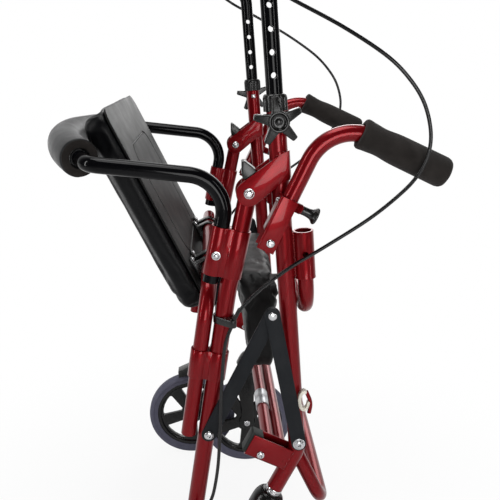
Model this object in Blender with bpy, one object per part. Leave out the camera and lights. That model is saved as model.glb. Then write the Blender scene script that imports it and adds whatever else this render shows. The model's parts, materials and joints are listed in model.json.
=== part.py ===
# Folded rollator that doubles as a transport chair.
# Frame: +X forward, +Y to the user's left, +Z up, origin on the floor under the middle.
# All lengths in metres. Rest shape is the folded one, standing on four wheels.

import math

import bmesh
import bpy
from mathutils import Matrix, Vector
from mathutils.geometry import delaunay_2d_cdt

for oldObject in list(bpy.data.objects):
    bpy.data.objects.remove(oldObject, do_unlink=True)

# Driving dimensions

GAP = 0.0003
FLOOR_SHIFT_X = 0.0287
SIDE_Y = 0.2500
LEG_DIAMETER = 0.0254
LEG_WALL = 0.0013
TUBE_DIAMETER = 0.0222
TUBE_WALL = 0.0016
SLIDE_CLEARANCE = 0.0003
PLATE_THICKNESS = 0.0025

PIVOT = (0.0491, 0.7385)
FOLD_DEG = 46.8
STEM_LEAN_DEG = 26.5
FRONT_LEG_LEAN = 0.0750
FRONT_BEND = (0.1229, 0.3400)
FRONT_BEND_RADIUS = 0.0420
FRONT_LEG_TOP_Z = 0.8540
STEM_LENGTH = 0.0740

HANDLE_BEND_Z = 1.0270
HANDLE_BEND_RADIUS = 0.0450
HANDLE_REACH = 0.2640
HANDLE_BOTTOM_Z = 0.6600
HANDLE_HOLE_DIAMETER = 0.0080
HANDLE_HOLE_SPACING = 0.0286
HANDLE_HOLE_TOP_Z = 0.9770
HANDLE_HOLE_COUNT = 6
GRIP_DIAMETER = 0.0330
GRIP_LENGTH = 0.1250
GRIP_CAP = 0.0030
HOUSING_GAP = 0.0140
HOUSING_LENGTH = 0.0560
LEVER_PIVOT_ALONG = 0.0410
LEVER_PIVOT_UNDER = 0.0330

REAR_KNEE = (0.0196, 0.5975)
REAR_LOWER_LEAN = 0.1500
REAR_KNEE_RADIUS = 0.3000
REAR_LEG_BOTTOM_Z = 0.0830
REAR_LEG_TOP_RISE = 0.0160
SOCKET_LENGTH = 0.0700
SOCKET_TOP_Z = 0.6870
SOCKET_WALL = 0.0022
LOWER_SOCKET_TOP_Z = 0.5060
LOWER_SOCKET_LENGTH = 0.0440
REAR_CROSS_Z = 0.5980
REAR_CROSS_RADIUS = 0.0500
REAR_CROSS_BOTTOM_Z = 0.3720

WHEEL_RADIUS = 0.1000
TYRE_WIDTH = 0.0260
TYRE_HEIGHT = 0.0190
REAR_WHEEL_Y = 0.2920
CASTER_TRAIL = 0.0613
CASTER_DROP = 0.1636
HUB_WEB = 0.0100
SPOKE_COUNT = 5
AXLE_RADIUS = 0.0046
AXLE_CLEARANCE = 0.0004
FORK_PLATE = 0.0030
FORK_INNER_Y = 0.0145

FRONT_SOCKET_TOP_Z = 0.6835
FRONT_SOCKET_LENGTH = 0.0690
FRONT_CROSS_Z = 0.5600
FRONT_CROSS_RADIUS = 0.0450
BACKREST_FOOT_GAP = 0.0005
FRONT_CROSS_INSERT = 0.0455
SNAP_Z = 0.6520

ARM_BRACKET_WALL = 0.0030
ARM_PIVOT = (0.0759, 0.6765)
ARM_LEAN_DEG = 27.5
ARM_KNEE = (0.1450, 0.8200)
ARM_DROOP_DEG = 25.0
ARM_GRIP_START = (0.1880, 0.8210)
ARM_GRIP_LENGTH = 0.1380
ARM_PAD_DIAMETER = 0.0370

LINK_LENGTH = 0.2085
LINK_WIDTH = 0.0220
LINK_THICKNESS = 0.0040
LINK_REAR_BOLT = (-0.0104, 0.3783)
LINK_FRONT_BOLT = (0.1227, 0.3610)

SEAT_HALF_WIDTH = 0.1800
SEAT_DEPTH = 0.3350
SEAT_THICKNESS = 0.0410
SEAT_BOARD = 0.0090
SEAT_LEAN_DEG = 26.0
SEAT_HINGE_FROM_FRONT = 0.2868
SEAT_HINGE_DROP = 0.0220

FOAM_ROLL_DIAMETER = 0.0550
CABLE_DIAMETER = 0.0050
SHOE_GAP = 0.0038
LINK_CLEARANCE = 0.0018
KNOB_REACH = 0.0320
KNOB_Z = 0.8350

LEG_SIDES = 16
TUBE_SIDES = 14
THIN_SIDES = 12
WHEEL_SIDES = 25
BOSS_SIDES = 15

RED = ("paint_red", (0.235, 0.010, 0.016), 0.24, 0.55)
GLOSS_BLACK = ("paint_black", (0.010, 0.010, 0.011), 0.20, 0.10)
LINK_BLACK = ("coat_black", (0.018, 0.019, 0.020), 0.55, 0.20)
FOAM_BLACK = ("foam_black", (0.030, 0.031, 0.034), 0.92, 0.0)
PLASTIC_BLACK = ("plastic_black", (0.022, 0.022, 0.024), 0.50, 0.0)
VINYL_BLACK = ("vinyl_black", (0.020, 0.020, 0.022), 0.45, 0.0)
BOARD_BLACK = ("board_black", (0.035, 0.034, 0.035), 0.60, 0.0)
NYLON_BLACK = ("nylon_black", (0.016, 0.016, 0.018), 0.70, 0.0)
TYRE_GREY = ("tyre_grey", (0.120, 0.125, 0.165), 0.60, 0.0)
STEEL = ("zinc_steel", (0.620, 0.620, 0.640), 0.28, 0.95)
CREAM = ("label_cream", (0.720, 0.690, 0.620), 0.50, 0.0)
BAND_SILVER = ("band_silver", (0.560, 0.570, 0.580), 0.38, 0.70)
PLUG_GREY = ("plug_grey", (0.090, 0.105, 0.100), 0.55, 0.0)
CABLE_BLACK = ("cable_black", (0.012, 0.012, 0.013), 0.42, 0.0)

materials = {}
legRadius = LEG_DIAMETER / 2
tubeRadius = TUBE_DIAMETER / 2
armSlot = tubeRadius + 0.0004
armY = SIDE_Y + legRadius + GAP + ARM_BRACKET_WALL + armSlot
cheekInner = legRadius + GAP
cheekOuter = cheekInner + PLATE_THICKNESS
boltRadius = 0.0038
holeRadius = boltRadius + 0.0003
stemLean = math.radians(STEM_LEAN_DEG)
gripStartAlong = HANDLE_REACH + GRIP_CAP - GRIP_LENGTH
frontCrossTopZ = FRONT_SOCKET_TOP_Z - FRONT_CROSS_INSERT
housingStart = gripStartAlong - HOUSING_GAP - HOUSING_LENGTH
leverPivot = (housingStart + LEVER_PIVOT_ALONG, LEVER_PIVOT_UNDER)


# Shared builders

def materialFor(spec):
    name, colour, roughness, metallic = spec
    if name not in materials:
        made = bpy.data.materials.new(name)
        made.use_nodes = True
        shader = made.node_tree.nodes["Principled BSDF"]
        shader.inputs["Base Color"].default_value = (*colour, 1.0)
        shader.inputs["Roughness"].default_value = roughness
        shader.inputs["Metallic"].default_value = metallic
        made.diffuse_color = (*colour, 1.0)
        materials[name] = made
    return materials[name]


def finish(name, bm, spec, angle=35.0, origin=(0.0, 0.0, 0.0)):
    bmesh.ops.remove_doubles(bm, verts=bm.verts, dist=0.00001)
    bmesh.ops.recalc_face_normals(bm, faces=bm.faces)
    place = Vector(origin)
    bmesh.ops.translate(bm, verts=bm.verts, vec=-place)
    mesh = bpy.data.meshes.new(name)
    bm.to_mesh(mesh)
    bm.free()
    for polygon in mesh.polygons:
        polygon.use_smooth = True
    mesh.set_sharp_from_angle(angle=math.radians(angle))
    made = bpy.data.objects.new(name, mesh)
    made.location = place - Vector((FLOOR_SHIFT_X, 0.0, 0.0))
    bpy.context.scene.collection.objects.link(made)
    made.data.materials.append(materialFor(spec))
    return made


def combine(target, bm, name, operation):
    bmesh.ops.recalc_face_normals(bm, faces=bm.faces)
    bmesh.ops.translate(bm, verts=bm.verts, vec=(-FLOOR_SHIFT_X, 0.0, 0.0))
    mesh = bpy.data.meshes.new(name)
    bm.to_mesh(mesh)
    bm.free()
    cutter = bpy.data.objects.new(name, mesh)
    bpy.context.scene.collection.objects.link(cutter)
    cutter.hide_render = True
    cutter.display_type = "WIRE"
    modifier = target.modifiers.new(name, "BOOLEAN")
    modifier.operation = operation
    modifier.solver = "EXACT"
    modifier.object = cutter


def cut(target, bm, name):
    combine(target, bm, name, "DIFFERENCE")


def weld(target, bm, name):
    combine(target, bm, name, "UNION")


def basis(axis, hint=(0.0, 1.0, 0.0)):
    w = Vector(axis).normalized()
    u = Vector(hint) - w * Vector(hint).dot(w)
    if u.length < 1e-6:
        u = Vector((1.0, 0.0, 0.0)) - w * w.x
    u.normalize()
    return u, w.cross(u), w


def roundedPath(corners, radii, stepDeg=15.0):
    points = [Vector(corners[0])]
    for index in range(1, len(corners) - 1):
        before = Vector(corners[index - 1])
        here = Vector(corners[index])
        after = Vector(corners[index + 1])
        into = (here - before).normalized()
        out = (after - here).normalized()
        turn = into.angle(out)
        radius = radii[index - 1]
        if turn < 1e-4 or radius <= 0.0:
            points.append(here)
            continue
        tangent = radius * math.tan(turn / 2)
        start = here - into * tangent
        normal = into.cross(out).normalized()
        centre = start + normal.cross(into) * radius
        steps = max(2, round(math.degrees(turn) / stepDeg))
        for step in range(steps + 1):
            turned = Matrix.Rotation(turn * step / steps, 3, normal) @ (start - centre)
            points.append(centre + turned)
    points.append(Vector(corners[-1]))
    return points


def frames(points, hint):
    result = []
    count = len(points)
    previous = None
    for index in range(count):
        if index == 0:
            tangent = (points[1] - points[0]).normalized()
        elif index == count - 1:
            tangent = (points[-1] - points[-2]).normalized()
        else:
            first = (points[index] - points[index - 1]).normalized()
            second = (points[index + 1] - points[index]).normalized()
            tangent = (first + second).normalized()
        if previous is None:
            u, v, _ = basis(tangent, hint)
        else:
            u = previous - tangent * previous.dot(tangent)
            u.normalize()
            v = tangent.cross(u)
        previous = u
        result.append((u, v, tangent))
    return result


def sweep(bm, points, radius, segments=16, bore=0.0, hint=(0.0, 1.0, 0.0), scales=None):
    axes = frames(points, hint)
    shells = [radius] if bore <= 0.0 else [radius, bore]
    rings = []
    for shell in shells:
        loops = []
        for index, point in enumerate(points):
            u, v, _ = axes[index]
            factor = scales[index] if scales else 1.0
            loop = []
            for segment in range(segments):
                turn = 2 * math.pi * segment / segments
                offset = (u * math.cos(turn) + v * math.sin(turn)) * shell * factor
                loop.append(bm.verts.new(point + offset))
            loops.append(loop)
        for first, second in zip(loops, loops[1:]):
            bridge(bm, first, second)
        rings.append(loops)
    if bore <= 0.0:
        bm.faces.new(rings[0][0])
        bm.faces.new(rings[0][-1])
    else:
        bridge(bm, rings[0][0], rings[1][0])
        bridge(bm, rings[0][-1], rings[1][-1])


def bridge(bm, first, second):
    count = len(first)
    for index in range(count):
        after = (index + 1) % count
        bm.faces.new((first[index], first[after], second[after], second[index]))


def lathe(bm, origin, axis, profile, segments=20, hint=(0.0, 1.0, 0.0), closed=False):
    u, v, w = basis(axis, hint)
    origin = Vector(origin)
    loops = []
    for radius, along in profile:
        if radius < 1e-6:
            loops.append([bm.verts.new(origin + w * along)])
            continue
        loop = []
        for segment in range(segments):
            turn = 2 * math.pi * segment / segments
            offset = (u * math.cos(turn) + v * math.sin(turn)) * radius
            loop.append(bm.verts.new(origin + w * along + offset))
        loops.append(loop)
    pairs = list(zip(loops, loops[1:]))
    if closed:
        pairs.append((loops[-1], loops[0]))
    for first, second in pairs:
        if len(first) == 1 and len(second) == 1:
            continue
        if len(first) == 1:
            for index in range(segments):
                bm.faces.new((first[0], second[index], second[(index + 1) % segments]))
        elif len(second) == 1:
            for index in range(segments):
                bm.faces.new((second[0], first[(index + 1) % segments], first[index]))
        else:
            bridge(bm, first, second)
    if not closed:
        for loop in (loops[0], loops[-1]):
            if len(loop) > 1:
                bm.faces.new(loop)


def slab(bm, outline, holes, origin, ex, ez, ey, low, high, walled=None):
    origin = Vector(origin)
    ex = Vector(ex)
    ez = Vector(ez)
    ey = Vector(ey)
    loops = [outline] + list(holes)
    flat = []
    edges = []
    walls = []
    for loop in loops:
        start = len(flat)
        flat.extend(Vector(point) for point in loop)
        ring = [(start + i, start + (i + 1) % len(loop)) for i in range(len(loop))]
        edges.extend(ring)
        if walled is None or loop in walled:
            walls.extend(ring)
    placed, _, faces, _, _, _ = delaunay_2d_cdt(flat, edges, [], 1, 1e-7)
    kept = []
    for face in faces:
        middle = sum((placed[i] for i in face), Vector((0.0, 0.0))) / len(face)
        inside = insideLoop(middle, outline) and not any(insideLoop(middle, hole) for hole in holes)
        if inside:
            kept.append(face)
    bottom = [bm.verts.new(origin + ex * p.x + ez * p.y + ey * low) for p in placed]
    top = [bm.verts.new(origin + ex * p.x + ez * p.y + ey * high) for p in placed]
    for face in kept:
        bm.faces.new([bottom[i] for i in face])
        bm.faces.new([top[i] for i in reversed(face)])
    for first, second in walls:
        bm.faces.new((bottom[first], bottom[second], top[second], top[first]))


def insideLoop(point, loop):
    inside = False
    for index in range(len(loop)):
        a = loop[index - 1]
        b = loop[index]
        if (a[1] > point.y) != (b[1] > point.y):
            crossing = a[0] + (point.y - a[1]) * (b[0] - a[0]) / (b[1] - a[1])
            if point.x < crossing:
                inside = not inside
    return inside


def circle(centre, radius, count=16, start=0.0):
    points = []
    for index in range(count):
        turn = start + 2 * math.pi * index / count
        points.append((centre[0] + radius * math.cos(turn), centre[1] + radius * math.sin(turn)))
    return points


def capsule(first, second, radius, count=8):
    dx = second[0] - first[0]
    dz = second[1] - first[1]
    heading = math.atan2(dz, dx)
    points = []
    for index in range(count + 1):
        turn = heading + math.pi / 2 + math.pi * index / count
        points.append((first[0] + radius * math.cos(turn), first[1] + radius * math.sin(turn)))
    for index in range(count + 1):
        turn = heading - math.pi / 2 + math.pi * index / count
        points.append((second[0] + radius * math.cos(turn), second[1] + radius * math.sin(turn)))
    return points


def roundedRect(halfX, halfY, radius, perCorner=4):
    points = []
    for cornerX, cornerY, start in ((1, 1, 0.0), (-1, 1, 0.5), (-1, -1, 1.0), (1, -1, 1.5)):
        for index in range(perCorner + 1):
            turn = math.pi * (start + 0.5 * index / perCorner)
            px = cornerX * (halfX - radius) + radius * math.cos(turn)
            py = cornerY * (halfY - radius) + radius * math.sin(turn)
            points.append((px, py))
    return points


def sidePlate(bm, outline, holes, inner, outer, side):
    slab(bm, outline, holes, (0, 0, 0), (1, 0, 0), (0, 0, 1), (0, side, 0), inner, outer)


def block(bm, origin, ex, ez, ey, spanX, spanZ, spanY):
    outline = [(spanX[0], spanZ[0]), (spanX[1], spanZ[0]), (spanX[1], spanZ[1]), (spanX[0], spanZ[1])]
    slab(bm, outline, [], origin, ex, ez, ey, spanY[0], spanY[1])


def bolt(bm, x, z, side, seat, headRadius=0.0068, headHeight=0.0042, shank=0.0035, depth=0.010):
    profile = [
        (0.0, -depth),
        (shank, -depth),
        (shank, 0.0),
        (headRadius, 0.0),
        (headRadius, headHeight * 0.5),
        (headRadius * 0.7, headHeight),
        (0.0, headHeight),
    ]
    lathe(bm, (x, side * seat, z), (0, side, 0), profile, 10, (1, 0, 0))


def rotated(point, centre, degrees):
    turn = math.radians(degrees)
    dx = point[0] - centre[0]
    dz = point[1] - centre[1]
    turnedX = dx * math.cos(turn) + dz * math.sin(turn)
    turnedZ = -dx * math.sin(turn) + dz * math.cos(turn)
    return (centre[0] + turnedX, centre[1] + turnedZ)


def frontLegX(z):
    return FRONT_BEND[0] - FRONT_LEG_LEAN * (z - FRONT_BEND[1])


def rearLowerX(z):
    return REAR_KNEE[0] + REAR_LOWER_LEAN * (z - REAR_KNEE[1])


upLeg = Vector((-FRONT_LEG_LEAN, 0.0, 1.0)).normalized()
forwardOfLeg = Vector((upLeg.z, 0.0, -upLeg.x))
stemDown = Vector((-math.sin(stemLean), 0.0, -math.cos(stemLean)))
stemForward = Vector((math.cos(stemLean), 0.0, -math.sin(stemLean)))
stemEnd = Vector((FRONT_BEND[0], 0.0, FRONT_BEND[1])) + stemDown * STEM_LENGTH
rearUpper = Vector((PIVOT[0] - REAR_KNEE[0], 0.0, PIVOT[1] - REAR_KNEE[1])).normalized()
rearUpperBack = Vector((-rearUpper.z, 0.0, rearUpper.x))
rearLower = Vector((REAR_LOWER_LEAN, 0.0, 1.0)).normalized()
rearLowerBack = Vector((-rearLower.z, 0.0, rearLower.x))
gripUp = Vector((-math.cos(stemLean), 0.0, math.sin(stemLean)))
gripUnder = Vector((-math.sin(stemLean), 0.0, -math.cos(stemLean)))


def sideName(side):
    return "right" if side < 0 else "left"


def at(point, y):
    return Vector((point[0], y, point[1]))


# Front leg: handle sleeve above, caster stem below the bend

def buildFrontLeg(side):
    y = side * SIDE_Y
    name = sideName(side)
    bm = bmesh.new()
    top = (frontLegX(FRONT_LEG_TOP_Z), y, FRONT_LEG_TOP_Z)
    end = stemEnd + Vector((0, y, 0))
    points = roundedPath([top, at(FRONT_BEND, y), end], [FRONT_BEND_RADIUS], 10)
    sweep(bm, points, legRadius, LEG_SIDES, legRadius - LEG_WALL)
    leg = finish("front_leg_" + name, bm, RED)
    for sign in (-1, 1):
        plate = bmesh.new()
        addCheek(plate, side, sign)
        weld(leg, plate, "cheek_" + name + ("_a" if sign < 0 else "_b"))
    beads = bmesh.new()
    addBeads(beads, side)
    weld(leg, beads, "beads_" + name)
    socket = bmesh.new()
    addFrontSocket(socket, side)
    weld(leg, socket, "socket_" + name)
    seam = bmesh.new()
    low = frontSocketPoint(FRONT_SOCKET_TOP_Z - FRONT_SOCKET_LENGTH, y)
    legSide = low - forwardOfLeg * socketOffset
    span = (legRadius - LEG_WALL * 0.5, socketOffset - tubeRadius - SLIDE_CLEARANCE - 0.0012)
    block(seam, legSide, forwardOfLeg, upLeg, (0, 1, 0), span, (0.0040, FRONT_SOCKET_LENGTH - 0.0040), (-0.0030, 0.0030))
    weld(leg, seam, "socket_seam_" + name)
    channel = bmesh.new()
    addLowerChannel(channel, side)
    weld(leg, channel, "channel_" + name)
    pin = bmesh.new()
    addChannelBolt(pin, side)
    weld(leg, pin, "channel_bolt_" + name)
    hole = bmesh.new()
    spot = frontSocketPoint(SNAP_Z, y)
    lathe(hole, spot, (0, side, 0), [(0.0, 0.0050), (0.0042, 0.0050), (0.0042, 0.0250), (0.0, 0.0250)], 8, (1, 0, 0))
    cut(leg, hole, "socket_hole_" + name)


def buildCollar(side):
    y = side * SIDE_Y
    bm = bmesh.new()
    base = Vector((frontLegX(FRONT_LEG_TOP_Z), y, FRONT_LEG_TOP_Z))
    bore = tubeRadius + SLIDE_CLEARANCE
    skirt = legRadius + GAP
    outer = 0.0162
    profile = [
        (skirt, -0.0080),
        (outer, -0.0080),
        (outer, 0.0090),
        (outer - 0.0020, 0.0140),
        (bore, 0.0140),
        (bore, GAP),
        (skirt, GAP),
    ]
    lathe(bm, base, upLeg, profile, LEG_SIDES, closed=True)
    finish("leg_collar_" + sideName(side), bm, PLASTIC_BLACK)


# Cheek plates of the fold hinge, welded to the leg on both sides

def addCheek(bm, side, sign):
    lobe = 0.0175
    cheek = []
    legFront = forwardOfLeg * legRadius
    highFront = Vector((frontLegX(0.7945), 0, 0.7945)) + legFront
    lowFront = Vector((frontLegX(0.7560), 0, 0.7560)) + legFront
    cheek.append((highFront.x, highFront.z))
    cheek.append((highFront.x - 0.0100, highFront.z - 0.0040))
    for index in range(7):
        turn = math.radians(125 + 30.0 * index)
        cheek.append((PIVOT[0] + lobe * math.cos(turn), PIVOT[1] + lobe * math.sin(turn)))
    cheek.append((lowFront.x - 0.0120, lowFront.z - 0.0050))
    cheek.append((lowFront.x, lowFront.z))
    hole = circle(PIVOT, holeRadius, 10)
    low, high = (cheekInner, cheekOuter) if sign > 0 else (-cheekOuter, -cheekInner)
    slab(bm, cheek, [hole], (0, side * SIDE_Y, 0), (1, 0, 0), (0, 0, 1), (0, side, 0), low, high)


def addBeads(bm, side):
    wall = legRadius - LEG_WALL * 0.5
    for sign in (-1, 1):
        base = Vector((frontLegX(0.7600), side * SIDE_Y, 0.7600))
        spanY = (wall, cheekInner + 0.0008) if sign > 0 else (-cheekInner - 0.0008, -wall)
        block(bm, base, forwardOfLeg, upLeg, (0, side, 0), (-0.0040, 0.0040), (0.0, 0.0300), spanY)
    ring = [(0.0046, wall), (0.0085, wall), (0.0085, legRadius + 0.0090), (0.0046, legRadius + 0.0090)]
    centre = (frontLegX(KNOB_Z), side * SIDE_Y, KNOB_Z)
    lathe(bm, centre, (0, side, 0), ring, 12, (1, 0, 0), True)


# Arm channel: a folded U plate with the through pin of the arm

def armAxes():
    lean = math.radians(ARM_LEAN_DEG)
    along = Vector((math.sin(lean), 0.0, math.cos(lean)))
    back = Vector((-math.cos(lean), 0.0, math.sin(lean)))
    return along, back


def buildArmBracket(side):
    along, back = armAxes()
    origin = at(ARM_PIVOT, side * armY)
    wall = ARM_BRACKET_WALL
    outer = armSlot + wall
    length = 0.0640
    start = -0.0125
    rear = tubeRadius + 0.0006
    front = -0.0100
    section = [
        (-outer, front),
        (-armSlot, front),
        (-armSlot, rear),
        (armSlot, rear),
        (armSlot, front),
        (outer, front),
        (outer, rear + wall),
        (-outer, rear + wall),
    ]
    bm = bmesh.new()
    slab(bm, section, [], origin, (0, side, 0), back, along, start, length)
    made = finish("arm_bracket_" + sideName(side), bm, RED)
    pin = bmesh.new()
    bolt(pin, ARM_PIVOT[0], ARM_PIVOT[1], side, armY + outer - 0.0001, 0.0058, 0.0040, 0.0034, 2 * armSlot + wall + 0.0010)
    weld(made, pin, "arm_pin_" + sideName(side))
    notch = bmesh.new()
    span = (start - 0.0010, 0.0125)
    reach = (-armSlot - 0.0006, armSlot + 0.0006)
    block(notch, origin, back, along, (0, side, 0), (rear - 0.0010, rear + wall + 0.0010), span, reach)
    cut(made, notch, "arm_foot_notch_" + sideName(side))
    hole = bmesh.new()
    lock = origin + along * 0.0560
    lathe(hole, lock, back, [(0.0, 0.0100), (0.0042, 0.0100), (0.0042, 0.0200), (0.0, 0.0200)], 12, (0, 1, 0))
    cut(made, hole, "arm_lock_hole_" + sideName(side))


def channelPoint(e, s, y):
    back = -stemForward
    return Vector((FRONT_BEND[0], y, FRONT_BEND[1])) + back * e + stemDown * s


CHANNEL_HALF = 0.0125
CHANNEL_WALL = 0.0023
CHANNEL_BOLT = (0.0500, 0.0265)


def addLowerChannel(bm, side):
    half = CHANNEL_HALF
    wall = CHANNEL_WALL
    low = 0.0010
    high = 0.0370
    section = [
        (-half, low),
        (-half, high),
        (half, high),
        (half, low),
        (half - wall, low),
        (half - wall, high - wall),
        (wall - half, high - wall),
        (wall - half, low),
    ]
    origin = channelPoint(0.0, 0.0, side * SIDE_Y)
    slab(bm, section, [], origin, (0, side, 0), stemDown, -stemForward, 0.0057, 0.0725)


def addChannelBolt(bm, side):
    spot = channelPoint(CHANNEL_BOLT[0], CHANNEL_BOLT[1], 0.0)
    bolt(bm, spot.x, spot.z, side, SIDE_Y + CHANNEL_HALF - 0.0001, 0.0062, 0.0045, 0.0035, 2 * CHANNEL_HALF - 0.0010)


def buildChannelPlug(side):
    bm = bmesh.new()
    half = CHANNEL_HALF - CHANNEL_WALL - GAP
    origin = channelPoint(0.0, 0.0, side * SIDE_Y)
    outline = [(0.0580, -0.0010), (0.0755, -0.0010), (0.0775, 0.0020), (0.0775, 0.0310), (0.0750, 0.0340), (0.0580, 0.0340)]
    slab(bm, outline, [], origin, -stemForward, stemDown, (0, side, 0), -half, half)
    finish("channel_plug_" + sideName(side), bm, PLUG_GREY)


def buildLowerTubes():
    reach = SIDE_Y - CHANNEL_HALF - GAP
    for name, e, s, radius in (("lower_cross_tube", 0.0228, 0.0112, 0.0092), ("brace_tube", 0.0440, 0.0112, 0.0095)):
        bm = bmesh.new()
        sweep(bm, [channelPoint(e, s, -reach), channelPoint(e, s, reach)], radius, THIN_SIDES, radius - 0.0015, (0, 0, 1))
        finish(name, bm, RED)


def buildBand():
    bm = bmesh.new()
    radius = 0.0095
    start = channelPoint(0.0440, 0.0112, -0.1420)
    profile = [(radius + GAP, 0.0), (radius + 0.0018, 0.0), (radius + 0.0018, 0.0480), (radius + GAP, 0.0480)]
    lathe(bm, start, (0, 1, 0), profile, THIN_SIDES, (0, 0, 1), True)
    finish("tube_band", bm, BAND_SILVER)


# Front socket beside the leg, with the cross tube rising into it

socketOffset = legRadius + GAP + tubeRadius + SLIDE_CLEARANCE + 0.0030


def frontSocketPoint(z, y):
    base = Vector((frontLegX(z), y, z))
    return base + Vector((socketOffset / forwardOfLeg.x, 0, 0))


def addFrontSocket(bm, side):
    bore = tubeRadius + SLIDE_CLEARANCE
    low = frontSocketPoint(FRONT_SOCKET_TOP_Z - FRONT_SOCKET_LENGTH, side * SIDE_Y)
    profile = [
        (bore, 0.0),
        (bore + 0.0030, 0.0),
        (bore + 0.0030, FRONT_SOCKET_LENGTH),
        (bore, FRONT_SOCKET_LENGTH),
    ]
    lathe(bm, low, upLeg, profile, LEG_SIDES, closed=True)


def buildFrontCross():
    bm = bmesh.new()
    corners = [
        frontSocketPoint(frontCrossTopZ, -SIDE_Y),
        frontSocketPoint(FRONT_CROSS_Z, -SIDE_Y),
        frontSocketPoint(FRONT_CROSS_Z, SIDE_Y),
        frontSocketPoint(frontCrossTopZ, SIDE_Y),
    ]
    points = roundedPath(corners, [FRONT_CROSS_RADIUS, FRONT_CROSS_RADIUS], 18)
    sweep(bm, points, tubeRadius, TUBE_SIDES, 0.0, (1, 0, 0))
    cross = finish("front_cross_tube", bm, RED)
    bores = bmesh.new()
    bore = tubeRadius - TUBE_WALL
    for side in (-1, 1):
        top = frontSocketPoint(frontCrossTopZ, side * SIDE_Y)
        lathe(bores, top, -upLeg, [(0.0, -0.0100), (bore, -0.0100), (bore, 0.0500), (0.0, 0.0500)], 12)
    cut(cross, bores, "front_cross_bores")


# Foot bar, a U tube hinged inboard of the leg bends

FOOT_HINGE = (0.1195, 0.3300)
FOOT_CORNER = (0.1710, 0.2190)
footY = SIDE_Y - legRadius - GAP - 0.0024 - 0.0108


def buildFootBar():
    bm = bmesh.new()
    corners = [
        at(FOOT_HINGE, -footY),
        at(FOOT_CORNER, -footY),
        at(FOOT_CORNER, footY),
        at(FOOT_HINGE, footY),
    ]
    points = roundedPath(corners, [0.0400, 0.0400], 18)
    sweep(bm, points, 0.0108, 14, 0.0, (1, 0, 0))
    bar = finish("foot_bar", bm, RED, origin=at(FOOT_HINGE, 0.0))
    pins = bmesh.new()
    for side in (-1, 1):
        washer = [(0.0, 0.0), (0.0078, 0.0), (0.0078, 0.0050), (0.0, 0.0050)]
        heading = Vector((FOOT_CORNER[0] - FOOT_HINGE[0], 0, FOOT_CORNER[1] - FOOT_HINGE[1])).normalized()
        spot = at(FOOT_HINGE, side * (SIDE_Y - legRadius - GAP)) + heading * 0.0090
        lathe(pins, spot, (0, -side, 0), washer, 12, (1, 0, 0))
    weld(bar, pins, "foot_pins")


def buildClip():
    bm = bmesh.new()
    centre = Vector((0.1345, -SIDE_Y - 0.0152, 0.4210))
    outer = []
    inner = []
    for index in range(11):
        turn = math.radians(70 + 270 * index / 10)
        outer.append((0.0105 * math.cos(turn), 0.0190 * math.sin(turn)))
        inner.append((0.0070 * math.cos(turn), 0.0150 * math.sin(turn)))
    outline = outer + inner[::-1]
    slab(bm, outline, [], centre, (1, 0, 0), (0, 0, 1), (0, 1, 0), -0.0040, 0.0040)
    finish("strap_clip", bm, CREAM)


# Telescoping handle with adjustment holes, foam grip, brake housing and loop lever

def handleX(z):
    return frontLegX(z)


def buildHandle(side):
    y = side * SIDE_Y
    name = sideName(side)
    corner = Vector((handleX(HANDLE_BEND_Z), y, HANDLE_BEND_Z))
    end = corner + gripUp * HANDLE_REACH
    bottom = Vector((handleX(HANDLE_BOTTOM_Z), y, HANDLE_BOTTOM_Z))
    points = roundedPath([bottom, corner, end], [HANDLE_BEND_RADIUS], 13)
    bm = bmesh.new()
    sweep(bm, points, tubeRadius, LEG_SIDES, tubeRadius - TUBE_WALL)
    tube = finish("handle_tube_" + name, bm, GLOSS_BLACK)
    holes = bmesh.new()
    for index in range(HANDLE_HOLE_COUNT):
        z = HANDLE_HOLE_TOP_Z - HANDLE_HOLE_SPACING * index
        spot = Vector((handleX(z), y, z))
        radius = HANDLE_HOLE_DIAMETER / 2
        through = tubeRadius + 0.0050
        drill = [(0.0, -through), (radius, -through), (radius, through), (0.0, through)]
        lathe(holes, spot, (0, side, 0), drill, 8, (1, 0, 0))
    cut(tube, holes, "handle_holes_" + name)
    buildGrip(side, corner)
    buildHousing(side, corner)
    buildLever(side, corner)


def buildGrip(side, corner):
    bm = bmesh.new()
    bore = tubeRadius + GAP
    start = corner + gripUp * gripStartAlong
    outer = GRIP_DIAMETER / 2
    profile = [
        (bore, 0.0),
        (outer + 0.0035, 0.0),
        (outer + 0.0035, 0.0040),
        (outer, 0.0070),
        (outer - 0.0012, 0.0600),
        (outer, GRIP_LENGTH - 0.0080),
        (outer - 0.0050, GRIP_LENGTH),
        (0.0, GRIP_LENGTH),
        (0.0, GRIP_LENGTH - GRIP_CAP + GAP),
        (bore, GRIP_LENGTH - GRIP_CAP + GAP),
    ]
    lathe(bm, start, gripUp, profile, LEG_SIDES, closed=True)
    finish("hand_grip_" + sideName(side), bm, FOAM_BLACK)


def housingPoint(corner, along, under, y):
    return corner + gripUp * along + gripUnder * under + Vector((0, y - corner.y, 0))



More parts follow.
